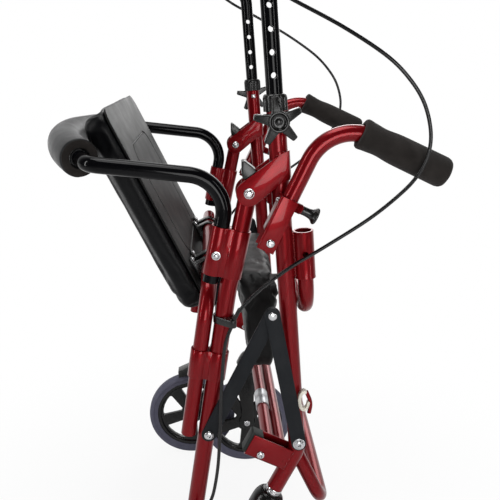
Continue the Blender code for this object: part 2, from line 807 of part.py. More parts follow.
def buildHousing(side, corner):
    name = sideName(side)
    bm = bmesh.new()
    bore = tubeRadius + GAP
    start = corner + gripUp * housingStart
    ring = [(bore, 0.0), (bore + 0.0045, 0.0), (bore + 0.0045, HOUSING_LENGTH), (bore, HOUSING_LENGTH)]
    lathe(bm, start, gripUp, ring, LEG_SIDES, closed=True)
    body = finish("brake_housing_" + name, bm, PLASTIC_BLACK)
    under = bore + 0.0020
    y = side * SIDE_Y
    base = Vector((corner.x, y, corner.z))
    for sign in (-1, 1):
        cheek = [
            (housingStart + 0.0010, under),
            (housingStart + HOUSING_LENGTH - 0.0010, under),
            (housingStart + HOUSING_LENGTH - 0.0010, 0.0350),
            (leverPivot[0] + 0.0040, 0.0430),
            (leverPivot[0] - 0.0060, 0.0430),
            (housingStart + 0.0070, 0.0330),
            (housingStart + 0.0010, 0.0280),
        ]
        low, high = (0.0068, 0.0110) if sign > 0 else (-0.0110, -0.0068)
        plate = bmesh.new()
        slab(plate, cheek, [], base, gripUp, gripUnder, (0, side, 0), low, high)
        weld(body, plate, "housing_cheek_" + name + ("_a" if sign < 0 else "_b"))
    nose = bmesh.new()
    outline = [
        (housingStart - 0.0040, bore + 0.0060),
        (housingStart + 0.0120, bore + 0.0035),
        (housingStart + 0.0120, 0.0320),
        (housingStart - 0.0040, 0.0300),
    ]
    slab(nose, outline, [], base, gripUp, gripUnder, (0, side, 0), -0.0072, 0.0072)
    weld(body, nose, "housing_nose_" + name)
    pin = bmesh.new()
    spot = housingPoint(corner, leverPivot[0], leverPivot[1], y)
    profile = [(0.0, -0.0125), (0.0040, -0.0125), (0.0040, -0.0100), (0.0025, -0.0100), (0.0025, 0.0100), (0.0040, 0.0100), (0.0040, 0.0125), (0.0, 0.0125)]
    lathe(pin, spot, (0, side, 0), profile, 8, (1, 0, 0))
    weld(body, pin, "lever_pin_" + name)
    barrel = bmesh.new()
    addAdjuster(barrel, side, corner)
    weld(body, barrel, "adjuster_" + name)


def addAdjuster(bm, side, corner):
    y = side * SIDE_Y
    start = housingPoint(corner, housingStart - 0.0035, 0.0240, y)
    profile = [
        (CABLE_DIAMETER / 2 + GAP, 0.0),
        (0.0052, 0.0),
        (0.0052, 0.0080),
        (0.0040, 0.0095),
        (0.0040, 0.0150),
        (CABLE_DIAMETER / 2 + GAP, 0.0150),
    ]
    lathe(bm, start, -gripUp, profile, 10, (0, 1, 0), True)


def cableStart(side):
    corner = Vector((handleX(HANDLE_BEND_Z), side * SIDE_Y, HANDLE_BEND_Z))
    return housingPoint(corner, housingStart - 0.0045, 0.0240, side * SIDE_Y)


def buildLever(side, corner):
    bm = bmesh.new()
    y = side * SIDE_Y
    shape = [
        (0.0540, 0.0470),
        (0.0700, 0.0700),
        (0.0980, 0.0900),
        (0.1330, 0.0980),
        (0.1680, 0.0930),
        (0.1900, 0.0790),
        (0.1960, 0.0640),
        (0.1880, 0.0520),
        (0.1660, 0.0480),
        (0.1260, 0.0500),
        (0.0880, 0.0450),
        (0.0620, 0.0390),
    ]
    path = [housingPoint(corner, housingStart + along, under, y) for along, under in shape]
    loop = smoothClosed(path, 2)
    ringSweep(bm, loop, 0.0042, 6, side)
    spot = housingPoint(corner, leverPivot[0], leverPivot[1], y)
    lever = finish("brake_lever_" + sideName(side), bm, PLASTIC_BLACK, 50.0, spot)
    root = bmesh.new()
    hub = [
        (leverPivot[0] - 0.0070, leverPivot[1] - 0.0040),
        (leverPivot[0] + 0.0020, leverPivot[1] - 0.0070),
        (leverPivot[0] + 0.0230, leverPivot[1] + 0.0030),
        (leverPivot[0] + 0.0160, leverPivot[1] + 0.0140),
        (leverPivot[0] + 0.0020, leverPivot[1] + 0.0080),
        (leverPivot[0] - 0.0070, leverPivot[1] + 0.0050),
    ]
    hole = circle(leverPivot, 0.0028, 10)
    slab(root, hub, [hole], Vector((corner.x, y, corner.z)), gripUp, gripUnder, (0, side, 0), -0.0062, 0.0062)
    weld(lever, root, "lever_root_" + sideName(side))


def smoothClosed(points, steps):
    count = len(points)
    result = []
    for index in range(count):
        a = points[index - 1]
        b = points[index]
        c = points[(index + 1) % count]
        d = points[(index + 2) % count]
        for step in range(steps):
            t = step / steps
            first = b * 2 + (c - a) * t
            second = (a * 2 - b * 5 + c * 4 - d) * t * t
            third = (b * 3 - a - c * 3 + d) * t * t * t
            result.append((first + second + third) * 0.5)
    return result


def ringSweep(bm, loop, radius, segments, side):
    count = len(loop)
    rings = []
    for index in range(count):
        tangent = (loop[(index + 1) % count] - loop[index - 1]).normalized()
        u = Vector((0, side, 0))
        v = tangent.cross(u)
        ring = []
        for segment in range(segments):
            turn = 2 * math.pi * (segment + 0.5) / segments
            offset = u * math.cos(turn) * radius * 1.35 + v * math.sin(turn) * radius
            ring.append(bm.verts.new(loop[index] + offset))
        rings.append(ring)
    for index in range(count):
        bridge(bm, rings[index], rings[(index + 1) % count])


# Five-lobed knob that clamps the handle height

def buildKnob(side):
    bm = bmesh.new()
    z = KNOB_Z
    x = frontLegX(z)
    y = side * SIDE_Y
    name = sideName(side)
    base = SIDE_Y + legRadius + 0.0090 + GAP
    count = 40
    outline = []
    for index in range(count):
        turn = 2 * math.pi * index / count
        wave = max(0.0, math.cos(5 * (turn - math.radians(78)))) ** 0.55
        radius = 0.0145 + (KNOB_REACH - 0.0145) * wave
        outline.append((radius * math.cos(turn), radius * math.sin(turn)))
    levels = [(0.0, 0.94), (0.0130, 1.0), (0.0170, 0.86)]
    rings = []
    for height, factor in levels:
        ring = []
        for px, pz in outline:
            ring.append(bm.verts.new((x + px * factor, side * (base + height), z + pz * factor)))
        rings.append(ring)
    for first, second in zip(rings, rings[1:]):
        bridge(bm, first, second)
    bm.faces.new(rings[0])
    bm.faces.new(rings[-1])
    knob = finish("star_knob_" + name, bm, PLASTIC_BLACK, 40.0, (x, y, z))
    core = bmesh.new()
    profile = [
        (0.0, -0.0085),
        (0.0040, -0.0085),
        (0.0040, 0.0160),
        (0.0098, 0.0160),
        (0.0088, 0.0202),
        (0.0, 0.0210),
    ]
    lathe(core, (x, side * base, z), (0, side, 0), profile, 12, (1, 0, 0))
    weld(knob, core, "knob_core_" + name)


# Arm rest: steel post that tips forward about its pivot, with a foam grip

def buildArm(side):
    y = side * armY
    along, back = armAxes()
    pivot = at(ARM_PIVOT, y)
    foot = pivot - along * 0.0105
    droop = math.radians(ARM_DROOP_DEG)
    gripDir = Vector((math.cos(droop), 0.0, -math.sin(droop)))
    gripStart = at(ARM_GRIP_START, y)
    end = gripStart + gripDir * (ARM_GRIP_LENGTH - 0.0040)
    knee = pivot + along * 0.1530
    crest = gripStart - gripDir * 0.0270
    points = roundedPath([foot, knee, crest, end], [0.0420, 0.0300], 15)
    bm = bmesh.new()
    sweep(bm, points, tubeRadius, TUBE_SIDES, 0.0)
    tube = finish("arm_tube_" + sideName(side), bm, RED, origin=pivot)
    holes = bmesh.new()
    lathe(holes, pivot, (0, 1, 0), [(0.0, -0.02), (0.0038, -0.02), (0.0038, 0.02), (0.0, 0.02)], 10, (1, 0, 0))
    lockSpot = pivot + along * 0.0560
    lathe(holes, lockSpot, back, [(0.0, -0.02), (0.0036, -0.02), (0.0036, 0.02), (0.0, 0.02)], 10, (0, 1, 0))
    cut(tube, holes, "arm_holes_" + sideName(side))
    buildArmPad(side, gripStart, gripDir)
    buildPlunger(side, lockSpot, back)


def buildArmPad(side, start, heading):
    bm = bmesh.new()
    outer = ARM_PAD_DIAMETER / 2
    bore = tubeRadius + GAP
    length = ARM_GRIP_LENGTH
    profile = [
        (bore, 0.0),
        (outer + 0.0030, 0.0),
        (outer + 0.0040, 0.0060),
        (outer + 0.0010, 0.0200),
        (outer - 0.0010, length * 0.55),
        (outer, length - 0.0180),
        (outer - 0.0020, length - 0.0050),
        (outer - 0.0060, length),
        (0.0, length),
        (0.0, length - 0.0040 + GAP),
        (bore, length - 0.0040 + GAP),
    ]
    lathe(bm, start, heading, profile, TUBE_SIDES, closed=True)
    finish("arm_pad_" + sideName(side), bm, FOAM_BLACK, origin=at(ARM_PIVOT, side * armY))


def buildPlunger(side, spot, back):
    bm = bmesh.new()
    front = -back
    profile = [
        (0.0, -(tubeRadius + 0.0060)),
        (0.0026, -(tubeRadius + 0.0050)),
        (0.0031, -(tubeRadius + 0.0030)),
        (0.0031, tubeRadius + 0.0006),
        (0.0070, tubeRadius + 0.0006),
        (0.0070, tubeRadius + 0.0060),
        (0.0062, tubeRadius + 0.0063),
        (0.0068, tubeRadius + 0.0220),
        (0.0115, tubeRadius + 0.0290),
        (0.0115, tubeRadius + 0.0310),
        (0.0, tubeRadius + 0.0325),
    ]
    lathe(bm, spot, front, profile, 10, (0, 1, 0))
    finish("arm_plunger_" + sideName(side), bm, PLASTIC_BLACK, origin=spot)


# Rear leg with its wedge stop, twin sockets, cross tube and brake shoe

def buildRearLeg(side):
    y = side * SIDE_Y
    name = sideName(side)
    top = at(PIVOT, y) + rearUpper * REAR_LEG_TOP_RISE
    bottom = Vector((rearLowerX(REAR_LEG_BOTTOM_Z), y, REAR_LEG_BOTTOM_Z))
    points = roundedPath([top, at(REAR_KNEE, y), bottom], [REAR_KNEE_RADIUS], 3.0)
    bm = bmesh.new()
    sweep(bm, points, legRadius, LEG_SIDES, 0.0)
    leg = finish("rear_leg_" + name, bm, RED, origin=at(PIVOT, y))
    outline = twinOutline(twinSpacing)
    tubeHole = circle((-twinSpacing, 0.0), tubeRadius + SLIDE_CLEARANCE, LEG_SIDES)
    upper = bmesh.new()
    knee = Vector((REAR_KNEE[0], y, REAR_KNEE[1]))
    upperLow = knee + rearUpper * ((SOCKET_TOP_Z - SOCKET_LENGTH - REAR_KNEE[1]) / rearUpper.z)
    slab(upper, outline, [tubeHole], upperLow, -rearUpperBack, (0, side, 0), rearUpper, 0.0, SOCKET_LENGTH)
    weld(leg, upper, "upper_socket_" + name)
    lower = bmesh.new()
    lowZ = LOWER_SOCKET_TOP_Z - LOWER_SOCKET_LENGTH
    slab(lower, outline, [tubeHole], (rearLowerX(lowZ), y, lowZ), -rearLowerBack, (0, side, 0), rearLower, 0.0, LOWER_SOCKET_LENGTH)
    weld(leg, lower, "lower_socket_" + name)
    fittings = bmesh.new()
    x = rearLowerX(WHEEL_RADIUS)
    start = SIDE_Y + legRadius - 0.0040
    tip = REAR_WHEEL_Y + 0.0165 - start
    axle = [
        (0.0, 0.0),
        (0.0090, 0.0),
        (0.0090, 0.0140),
        (AXLE_RADIUS, 0.0140),
        (AXLE_RADIUS, tip),
        (0.0085, tip),
        (0.0075, tip + 0.0045),
        (0.0, tip + 0.0055),
    ]
    lathe(fittings, (x, side * start, WHEEL_RADIUS), (0, side, 0), axle, 10, (1, 0, 0))
    snap = backrestPoint(SNAP_Z, y)
    face = tubeRadius + SLIDE_CLEARANCE + SOCKET_WALL
    dome = [(0.0, face - 0.0008), (0.0046, face - 0.0008), (0.0046, face + 0.0012), (0.0030, face + 0.0030), (0.0, face + 0.0034)]
    lathe(fittings, snap, (0, side, 0), dome, 8, (1, 0, 0))
    weld(leg, fittings, "leg_fittings_" + name)
    arm = bmesh.new()
    legX = rearLowerX(SHOE_PIVOT[1])
    block(arm, (legX, y, SHOE_PIVOT[1]), (1, 0, 0), (0, 0, 1), (0, side, 0), (-0.0030, 0.0040), (-0.0060, 0.0060), (0.0060, 0.0185))
    weld(leg, arm, "shoe_mount_" + name)
    pin = bmesh.new()
    shoePin = [
        (0.0, 0.0160),
        (0.0062, 0.0160),
        (0.0062, 0.0200),
        (0.0036, 0.0200),
        (0.0036, 0.0480),
        (0.0060, 0.0480),
        (0.0050, 0.0510),
        (0.0, 0.0510),
    ]
    lathe(pin, (legX + 0.0005, y, SHOE_PIVOT[1]), (0, side, 0), shoePin, 8, (1, 0, 0))
    weld(leg, pin, "shoe_pin_" + name)
    hole = bmesh.new()
    lathe(hole, at(PIVOT, y), (0, 1, 0), [(0.0, -0.02), (holeRadius, -0.02), (holeRadius, 0.02), (0.0, 0.02)], 10, (1, 0, 0))
    cut(leg, hole, "pivot_hole_" + name)


def buildPivotBolt(side):
    bm = bmesh.new()
    reach = cheekOuter + GAP
    profile = [
        (0.0, -reach - 0.0050),
        (0.0062, -reach - 0.0050),
        (0.0070, -reach),
        (boltRadius, -reach),
        (boltRadius, reach),
        (0.0072, reach),
        (0.0072, reach + 0.0022),
        (0.0052, reach + 0.0046),
        (0.0, reach + 0.0050),
    ]
    lathe(bm, at(PIVOT, side * SIDE_Y), (0, side, 0), profile, 10, (1, 0, 0))
    finish("pivot_bolt_" + sideName(side), bm, STEEL)


def buildLegPlug(side):
    bm = bmesh.new()
    across = Vector((rearUpper.z, 0.0, -rearUpper.x))
    base = Vector((PIVOT[0], 0.0, PIVOT[1])) + rearUpper * (REAR_LEG_TOP_RISE + GAP)
    legDrop = legRadius + 0.0008
    stopPoints = []
    for z in (0.7545, 0.7730):
        face = Vector((frontLegX(z), 0.0, z)) - forwardOfLeg * legDrop
        stopPoints.append(rotated((face.x, face.z), PIVOT, -FOLD_DEG))
    lowStop, highStop = stopPoints
    outline = [
        (base.x - across.x * 0.0115, base.z - across.z * 0.0115),
        (base.x + across.x * 0.0105, base.z + across.z * 0.0105),
        (lowStop[0], lowStop[1]),
        (highStop[0], highStop[1]),
        (highStop[0] - 0.0040, highStop[1] - 0.0010),
        (base.x - across.x * 0.0120 - 0.0010, base.z - across.z * 0.0120 + 0.0060),
    ]
    sidePlate(bm, outline, [], SIDE_Y - 0.0112, SIDE_Y + 0.0112, side)
    finish("leg_plug_" + sideName(side), bm, PLASTIC_BLACK, origin=at(PIVOT, side * SIDE_Y))


twinSpacing = legRadius + tubeRadius + 2 * SLIDE_CLEARANCE + SOCKET_WALL


def twinOutline(spacing):
    big = legRadius + SLIDE_CLEARANCE + SOCKET_WALL
    small = tubeRadius + SLIDE_CLEARANCE + SOCKET_WALL
    points = []
    for index in range(10):
        turn = math.radians(-138 + 276 * index / 9)
        points.append((big * math.cos(turn), big * math.sin(turn)))
    for index in range(10):
        turn = math.radians(48 + 264 * index / 9)
        points.append((-spacing + small * math.cos(turn), small * math.sin(turn)))
    return points


def backrestPoint(z, y):
    knee = Vector((REAR_KNEE[0], y, REAR_KNEE[1])) + rearUpperBack * twinSpacing
    return knee + rearUpper * ((z - knee.z) / rearUpper.z)


def rearCrossPoint(z, y):
    base = Vector((rearLowerX(REAR_CROSS_Z), y, REAR_CROSS_Z)) + rearLowerBack * twinSpacing
    return base + rearLower * ((z - base.z) / rearLower.z)


def buildRearCross():
    bm = bmesh.new()
    corners = [
        rearCrossPoint(REAR_CROSS_BOTTOM_Z, -SIDE_Y),
        rearCrossPoint(REAR_CROSS_Z, -SIDE_Y),
        rearCrossPoint(REAR_CROSS_Z, SIDE_Y),
        rearCrossPoint(REAR_CROSS_BOTTOM_Z, SIDE_Y),
    ]
    points = roundedPath(corners, [REAR_CROSS_RADIUS, REAR_CROSS_RADIUS], 18)
    sweep(bm, points, tubeRadius, TUBE_SIDES, 0.0, (1, 0, 0))
    cross = finish("rear_cross_tube", bm, RED, origin=at(PIVOT, 0.0))
    bores = bmesh.new()
    bore = tubeRadius - TUBE_WALL
    for side in (-1, 1):
        foot = rearCrossPoint(REAR_CROSS_BOTTOM_Z, side * SIDE_Y)
        lathe(bores, foot, rearLower, [(0.0, -0.0100), (bore, -0.0100), (bore, 0.0600), (0.0, 0.0600)], 12)
    cut(cross, bores, "rear_cross_bores")


# Backrest: black U tube in the rear sockets with a bowed foam roll

def buildBackrest():
    hook = (-0.1690, 0.7785)
    rise = backrestPoint(REAR_CROSS_Z + BACKREST_FOOT_GAP, 0.0)
    bendZ = 0.7560
    shoulder = backrestPoint(bendZ, 0.0)
    bow = []
    for index in range(-4, 5):
        y = 0.205 * index / 4
        x = -0.2340 + 0.0500 * (y / 0.205) ** 2
        bow.append(Vector((x, y, 0.7855 - 0.005 * (y / 0.205) ** 2)))
    corners = [
        Vector((rise.x, -SIDE_Y, rise.z)),
        Vector((shoulder.x, -SIDE_Y, shoulder.z)),
        Vector((hook[0], -SIDE_Y, hook[1])),
    ]
    corners += bow
    corners += [
        Vector((hook[0], SIDE_Y, hook[1])),
        Vector((shoulder.x, SIDE_Y, shoulder.z)),
        Vector((rise.x, SIDE_Y, rise.z)),
    ]
    radii = [0.0520, 0.0220] + [0.0] * len(bow) + [0.0220, 0.0520]
    points = roundedPath(corners, radii, 22)
    bm = bmesh.new()
    sweep(bm, points, tubeRadius, TUBE_SIDES, 0.0)
    finish("backrest_tube", bm, GLOSS_BLACK)
    buildFoamRoll()


def buildFoamRoll():
    bm = bmesh.new()
    bore = tubeRadius + GAP
    outer = FOAM_ROLL_DIAMETER / 2
    stations = [-0.2050, -0.2025, -0.1950, -0.1540, -0.1025, -0.0512, 0.0, 0.0512, 0.1025, 0.1540, 0.1950, 0.2025, 0.2050]
    factors = [0.82, 0.95, 1.0] + [1.0] * 7 + [1.0, 0.95, 0.82]
    path = []
    for y in stations:
        x = -0.2340 + 0.0500 * (y / 0.205) ** 2
        path.append(Vector((x, y, 0.7855 - 0.005 * (y / 0.205) ** 2)))
    axes = frames(path, (0, 0, 1))
    segments = 14
    shells = []
    for kind in (0, 1):
        loops = []
        for index, point in enumerate(path):
            u, v, _ = axes[index]
            radius = outer * factors[index] if kind == 0 else bore + 0.0004
            loop = []
            for segment in range(segments):
                turn = 2 * math.pi * segment / segments
                loop.append(bm.verts.new(point + (u * math.cos(turn) + v * math.sin(turn)) * radius))
            loops.append(loop)
        for first, second in zip(loops, loops[1:]):
            bridge(bm, first, second)
        shells.append(loops)
    bridge(bm, shells[0][0], shells[1][0])
    bridge(bm, shells[0][-1], shells[1][-1])
    finish("backrest_foam", bm, FOAM_BLACK)


# Seat, flipped up against the backrest, hinged on the rear cross tube

seatLean = math.radians(SEAT_LEAN_DEG)
seatUp = Vector((-math.sin(seatLean), 0.0, math.cos(seatLean)))
seatPad = Vector((-math.cos(seatLean), 0.0, -math.sin(seatLean)))
seatAxis = rearCrossPoint(REAR_CROSS_Z, 0.0)
seatCentre = seatAxis + seatPad * SEAT_HINGE_DROP + seatUp * (SEAT_HINGE_FROM_FRONT - SEAT_DEPTH / 2)


def seatLoop(bm, inset, height, radius, crown=0.0, perCorner=4):
    loop = []
    for px, py in roundedRect(SEAT_DEPTH / 2 - inset, SEAT_HALF_WIDTH - inset, radius, perCorner):
        lift = height + crown
        point = seatCentre + seatUp * px + Vector((0, py, 0)) + seatPad * lift
        loop.append(bm.verts.new(point))
    return loop


def buildSeat():
    bm = bmesh.new()
    loops = [
        seatLoop(bm, 0.0340, 0.0, 0.0120),
        seatLoop(bm, 0.0330, 0.0012, 0.0130),
        seatLoop(bm, 0.0300, 0.0012, 0.0150),
        seatLoop(bm, 0.0290, 0.0, 0.0160),
        seatLoop(bm, 0.0040, 0.0, 0.0260),
        seatLoop(bm, 0.0030, 0.0010, 0.0270),
        seatLoop(bm, 0.0030, SEAT_BOARD, 0.0270),
    ]
    for first, second in zip(loops, loops[1:]):
        bridge(bm, first, second)
    bm.faces.new(loops[0])
    bm.faces.new(loops[-1])
    board = finish("seat_board", bm, BOARD_BLACK, 25.0, seatAxis)
    clips = bmesh.new()
    addSeatClips(clips)
    weld(board, clips, "seat_clips")
    cushion = bmesh.new()
    base = SEAT_BOARD + GAP
    top = SEAT_THICKNESS
    shape = [
        (0.0060, base, 0.0240),
        (0.0010, base + 0.0050, 0.0290),
        (0.0, base + 0.0130, 0.0300),
        (0.0010, top - 0.0110, 0.0300),
        (0.0060, top - 0.0035, 0.0270),
        (0.0140, top - 0.0010, 0.0240),
        (0.0270, top - 0.0020, 0.0200),
        (0.0300, top - 0.0045, 0.0190),
        (0.0330, top - 0.0020, 0.0180),
        (0.0500, top + 0.0010, 0.0160),
        (0.0800, top + 0.0030, 0.0140),
        (0.1200, top + 0.0042, 0.0120),
    ]
    rings = [seatLoop(cushion, inset, height, radius) for inset, height, radius in shape]
    for first, second in zip(rings, rings[1:]):
        bridge(cushion, first, second)
    cushion.faces.new(rings[0])
    cushion.faces.new(rings[-1])
    finish("seat_cushion", cushion, VINYL_BLACK, 50.0, seatAxis)


def addSeatClips(clips):
    bore = tubeRadius + SLIDE_CLEARANCE
    wrap = bore + 0.0032
    drop = SEAT_HINGE_DROP + 0.0006
    for y in (-0.1350, -0.0980, 0.0980, 0.1350):
        outline = [(0.0250, drop - 0.0050), (0.0250, drop), (-0.0250, drop), (-0.0250, drop - 0.0050), (-wrap, drop - 0.0060)]
        for index in range(9):
            turn = math.radians(180 + 180 * index / 8)
            outline.append((wrap * math.cos(turn), wrap * math.sin(turn)))
        outline.append((wrap, drop - 0.0060))
        hole = circle((0.0, 0.0), bore, 16)
        slab(clips, outline, [hole], seatAxis + Vector((0, y, 0)), seatUp, seatPad, (0, 1, 0), -0.0075, 0.0075)


# Folding links: flat bars in two layers outboard of the legs

def linkCentre():
    spanX = LINK_FRONT_BOLT[0] - LINK_REAR_BOLT[0]
    spanZ = LINK_FRONT_BOLT[1] - LINK_REAR_BOLT[1]
    span = math.hypot(spanX, spanZ)
    rise = math.sqrt(LINK_LENGTH ** 2 - (span / 2) ** 2)
    midX = (LINK_FRONT_BOLT[0] + LINK_REAR_BOLT[0]) / 2
    midZ = (LINK_FRONT_BOLT[1] + LINK_REAR_BOLT[1]) / 2
    return (midX - spanZ / span * rise, midZ + spanX / span * rise)


linkInner = SIDE_Y + legRadius + LINK_CLEARANCE
linkMiddle = linkInner + LINK_THICKNESS + 0.0005
linkOuter = linkMiddle + LINK_THICKNESS


def buildLinks(side):
    centre = linkCentre()
    half = LINK_WIDTH / 2
    name = sideName(side)
    legFace = SIDE_Y + legRadius + GAP
    bm = bmesh.new()
    sidePlate(bm, capsule(LINK_REAR_BOLT, centre, half), [], linkInner, linkInner + LINK_THICKNESS, side)
    rear = finish("rear_link_" + name, bm, LINK_BLACK, origin=at(LINK_REAR_BOLT, side * SIDE_Y))
    pin = bmesh.new()
    bolt(pin, LINK_REAR_BOLT[0], LINK_REAR_BOLT[1], side, linkInner + LINK_THICKNESS - 0.0002, 0.0072, 0.0045, boltRadius, linkInner + LINK_THICKNESS - 0.0002 - legFace)
    weld(rear, pin, "rear_link_bolt_" + name)
    bm = bmesh.new()
    sidePlate(bm, capsule(LINK_FRONT_BOLT, centre, half), [], linkMiddle, linkOuter, side)
    front = finish("front_link_" + name, bm, LINK_BLACK, origin=at(LINK_FRONT_BOLT, side * SIDE_Y))
    pins = bmesh.new()
    bolt(pins, LINK_FRONT_BOLT[0], LINK_FRONT_BOLT[1], side, linkOuter - 0.0002, 0.0072, 0.0045, 0.0080, linkOuter - 0.0002 - legFace)
    bolt(pins, centre[0], centre[1], side, linkOuter - 0.0002, 0.0068, 0.0030, 0.0035, LINK_THICKNESS * 0.5)
    weld(front, pins, "front_link_bolts_" + name)


# Wheels

def buildWheel(label, centre, axis, hint):
    bm = bmesh.new()
    half = TYRE_WIDTH / 2
    seat = WHEEL_RADIUS - TYRE_HEIGHT
    tread = [
        (seat, -half * 0.72),
        (WHEEL_RADIUS - 0.0055, -half),
        (WHEEL_RADIUS, -half * 0.50),
        (WHEEL_RADIUS, half * 0.50),
        (WHEEL_RADIUS - 0.0055, half),
        (seat, half * 0.72),
    ]
    lathe(bm, centre, axis, tread, WHEEL_SIDES, hint, True)
    finish("tyre_" + label, bm, TYRE_GREY, 50.0, centre)
    bm = bmesh.new()
    rimOuter = seat - GAP
    rimInner = rimOuter - 0.0085
    web = HUB_WEB / 2
    bore = AXLE_RADIUS + AXLE_CLEARANCE
    boss = 0.0190
    rim = [
        (rimInner, web),
        (rimOuter, half * 0.66),
        (rimOuter, -half * 0.66),
        (rimInner, -web),
    ]
    core = [
        (boss, web),
        (0.0165, half * 0.80),
        (bore, half * 0.86),
        (bore, -half * 0.86),
        (0.0165, -half * 0.80),
        (boss, -web),
    ]
    addRings(bm, centre, axis, rim, WHEEL_SIDES, hint)
    addRings(bm, centre, axis, core, BOSS_SIDES, hint)
    u, v, w = basis(axis, hint)
    holes = [circle((0.0, 0.0), boss, BOSS_SIDES)]
    for index in range(SPOKE_COUNT):
        holes.append(windowLoop(2 * math.pi * (index + 0.5) / SPOKE_COUNT + 0.35, rimInner))
    slab(bm, circle((0.0, 0.0), rimInner, WHEEL_SIDES), holes, centre, u, v, w, -web, web, holes[1:])
    finish("hub_" + label, bm, PLASTIC_BLACK, 40.0, centre)


def addRings(bm, origin, axis, profile, segments, hint):
    u, v, w = basis(axis, hint)
    loops = []
    for radius, along in profile:
        loop = []
        for px, py in circle((0.0, 0.0), radius, segments):
            loop.append(bm.verts.new(Vector(origin) + u * px + v * py + w * along))
        loops.append(loop)
    for first, second in zip(loops, loops[1:]):
        bridge(bm, first, second)


def windowLoop(middle, webOuter):
    outer = webOuter - 0.0040
    inner = 0.0270
    half = math.radians(26.0)
    points = []
    for fraction in (-0.86, 0.0, 0.86):
        turn = middle + half * fraction
        points.append((outer * math.cos(turn), outer * math.sin(turn)))
    turn = middle + half * 0.96
    points.append(((outer - 0.0070) * math.cos(turn), (outer - 0.0070) * math.sin(turn)))
    for fraction in (0.30, -0.30):
        turn = middle + half * fraction
        radius = inner
        points.append((radius * math.cos(turn), radius * math.sin(turn)))
    turn = middle - half * 0.96
    points.append(((outer - 0.0070) * math.cos(turn), (outer - 0.0070) * math.sin(turn)))
    return points


# Caster: steel bearing, black crown with two blades, axle

def casterPoint(n, d, y):
    return stemEnd + stemForward * n + stemDown * d + Vector((0, y, 0))


def buildCaster(side):
    y = side * SIDE_Y
    name = sideName(side)
    bm = bmesh.new()
    stem = legRadius - LEG_WALL - 0.0010
    crown = [
        (0.0, -0.0320),
        (stem, -0.0310),
        (stem, GAP),
        (0.0127, GAP),
        (0.0127, 0.0090),
        (0.0195, 0.0130),
        (0.0245, 0.0240),
        (0.0250, 0.0430),
        (0.0, 0.0440),
    ]
    lathe(bm, casterPoint(0, 0, y), stemDown, crown, LEG_SIDES, (0, 1, 0))
    fork = finish("caster_fork_" + name, bm, PLASTIC_BLACK, origin=casterPoint(0, 0, y))
    outline = [
        (-0.0190, 0.0330),
        (0.0190, 0.0330),
        (0.0420, 0.0900),
        (CASTER_TRAIL + 0.0140, CASTER_DROP - 0.0060),
        (CASTER_TRAIL + 0.0120, CASTER_DROP + 0.0080),
        (CASTER_TRAIL, CASTER_DROP + 0.0140),
        (CASTER_TRAIL - 0.0120, CASTER_DROP + 0.0080),
        (CASTER_TRAIL - 0.0260, CASTER_DROP - 0.0260),
        (-0.0120, 0.0760),
    ]
    blades = bmesh.new()
    for sign in (-1, 1):
        low, high = (FORK_INNER_Y, FORK_INNER_Y + FORK_PLATE)
        if sign < 0:
            low, high = (-high, -low)
        slab(blades, outline, [], casterPoint(0, 0, y), stemForward, stemDown, (0, side, 0), low, high)
    weld(fork, blades, "fork_blades_" + name)
    pin = bmesh.new()
    face = FORK_INNER_Y + FORK_PLATE
    axle = [
        (0.0, -face - 0.0030),
        (0.0070, -face - 0.0030),
        (0.0070, -face + 0.0010),
        (AXLE_RADIUS, -face + 0.0010),
        (AXLE_RADIUS, face - 0.0010),
        (0.0070, face - 0.0010),
        (0.0070, face + 0.0030),
        (0.0, face + 0.0030),
    ]
    lathe(pin, casterPoint(CASTER_TRAIL, CASTER_DROP, y), (0, 1, 0), axle, 10, (1, 0, 0))
    weld(fork, pin, "fork_axle_" + name)
    buildWheel("front_" + name, casterPoint(CASTER_TRAIL, CASTER_DROP, y), (0, 1, 0), (1, 0, 0))


# Brake shoe that presses on the rear tyre

SHOE_PIVOT = (-0.0340, 0.2420)


def buildShoe(side):
    bm = bmesh.new()
    x = rearLowerX(WHEEL_RADIUS)
    pivot = (rearLowerX(SHOE_PIVOT[1]) + 0.0005, SHOE_PIVOT[1])
    pad = []
    for index in range(5):
        turn = math.radians(86 + 5.0 * index)
        reach = WHEEL_RADIUS + SHOE_GAP
        pad.append((x + reach * math.cos(turn), WHEEL_RADIUS + reach * math.sin(turn)))
    pad += [
        (pad[-1][0] - 0.0010, 0.2150),
        (pivot[0] - 0.0120, 0.2330),
        (pivot[0] - 0.0110, 0.2480),
        (pivot[0], 0.2530),
        (pivot[0] + 0.0100, 0.2470),
        (pivot[0] + 0.0100, 0.2340),
    ]
    hole = circle(pivot, 0.0040, 12)
    low = SIDE_Y + 0.0204
    sidePlate(bm, pad, [hole], low, low + 0.0270, side)
    finish("brake_shoe_" + sideName(side), bm, PLASTIC_BLACK, origin=at(pivot, side * SIDE_Y))


# Brake cable, one free run from the lever housing to the shoe

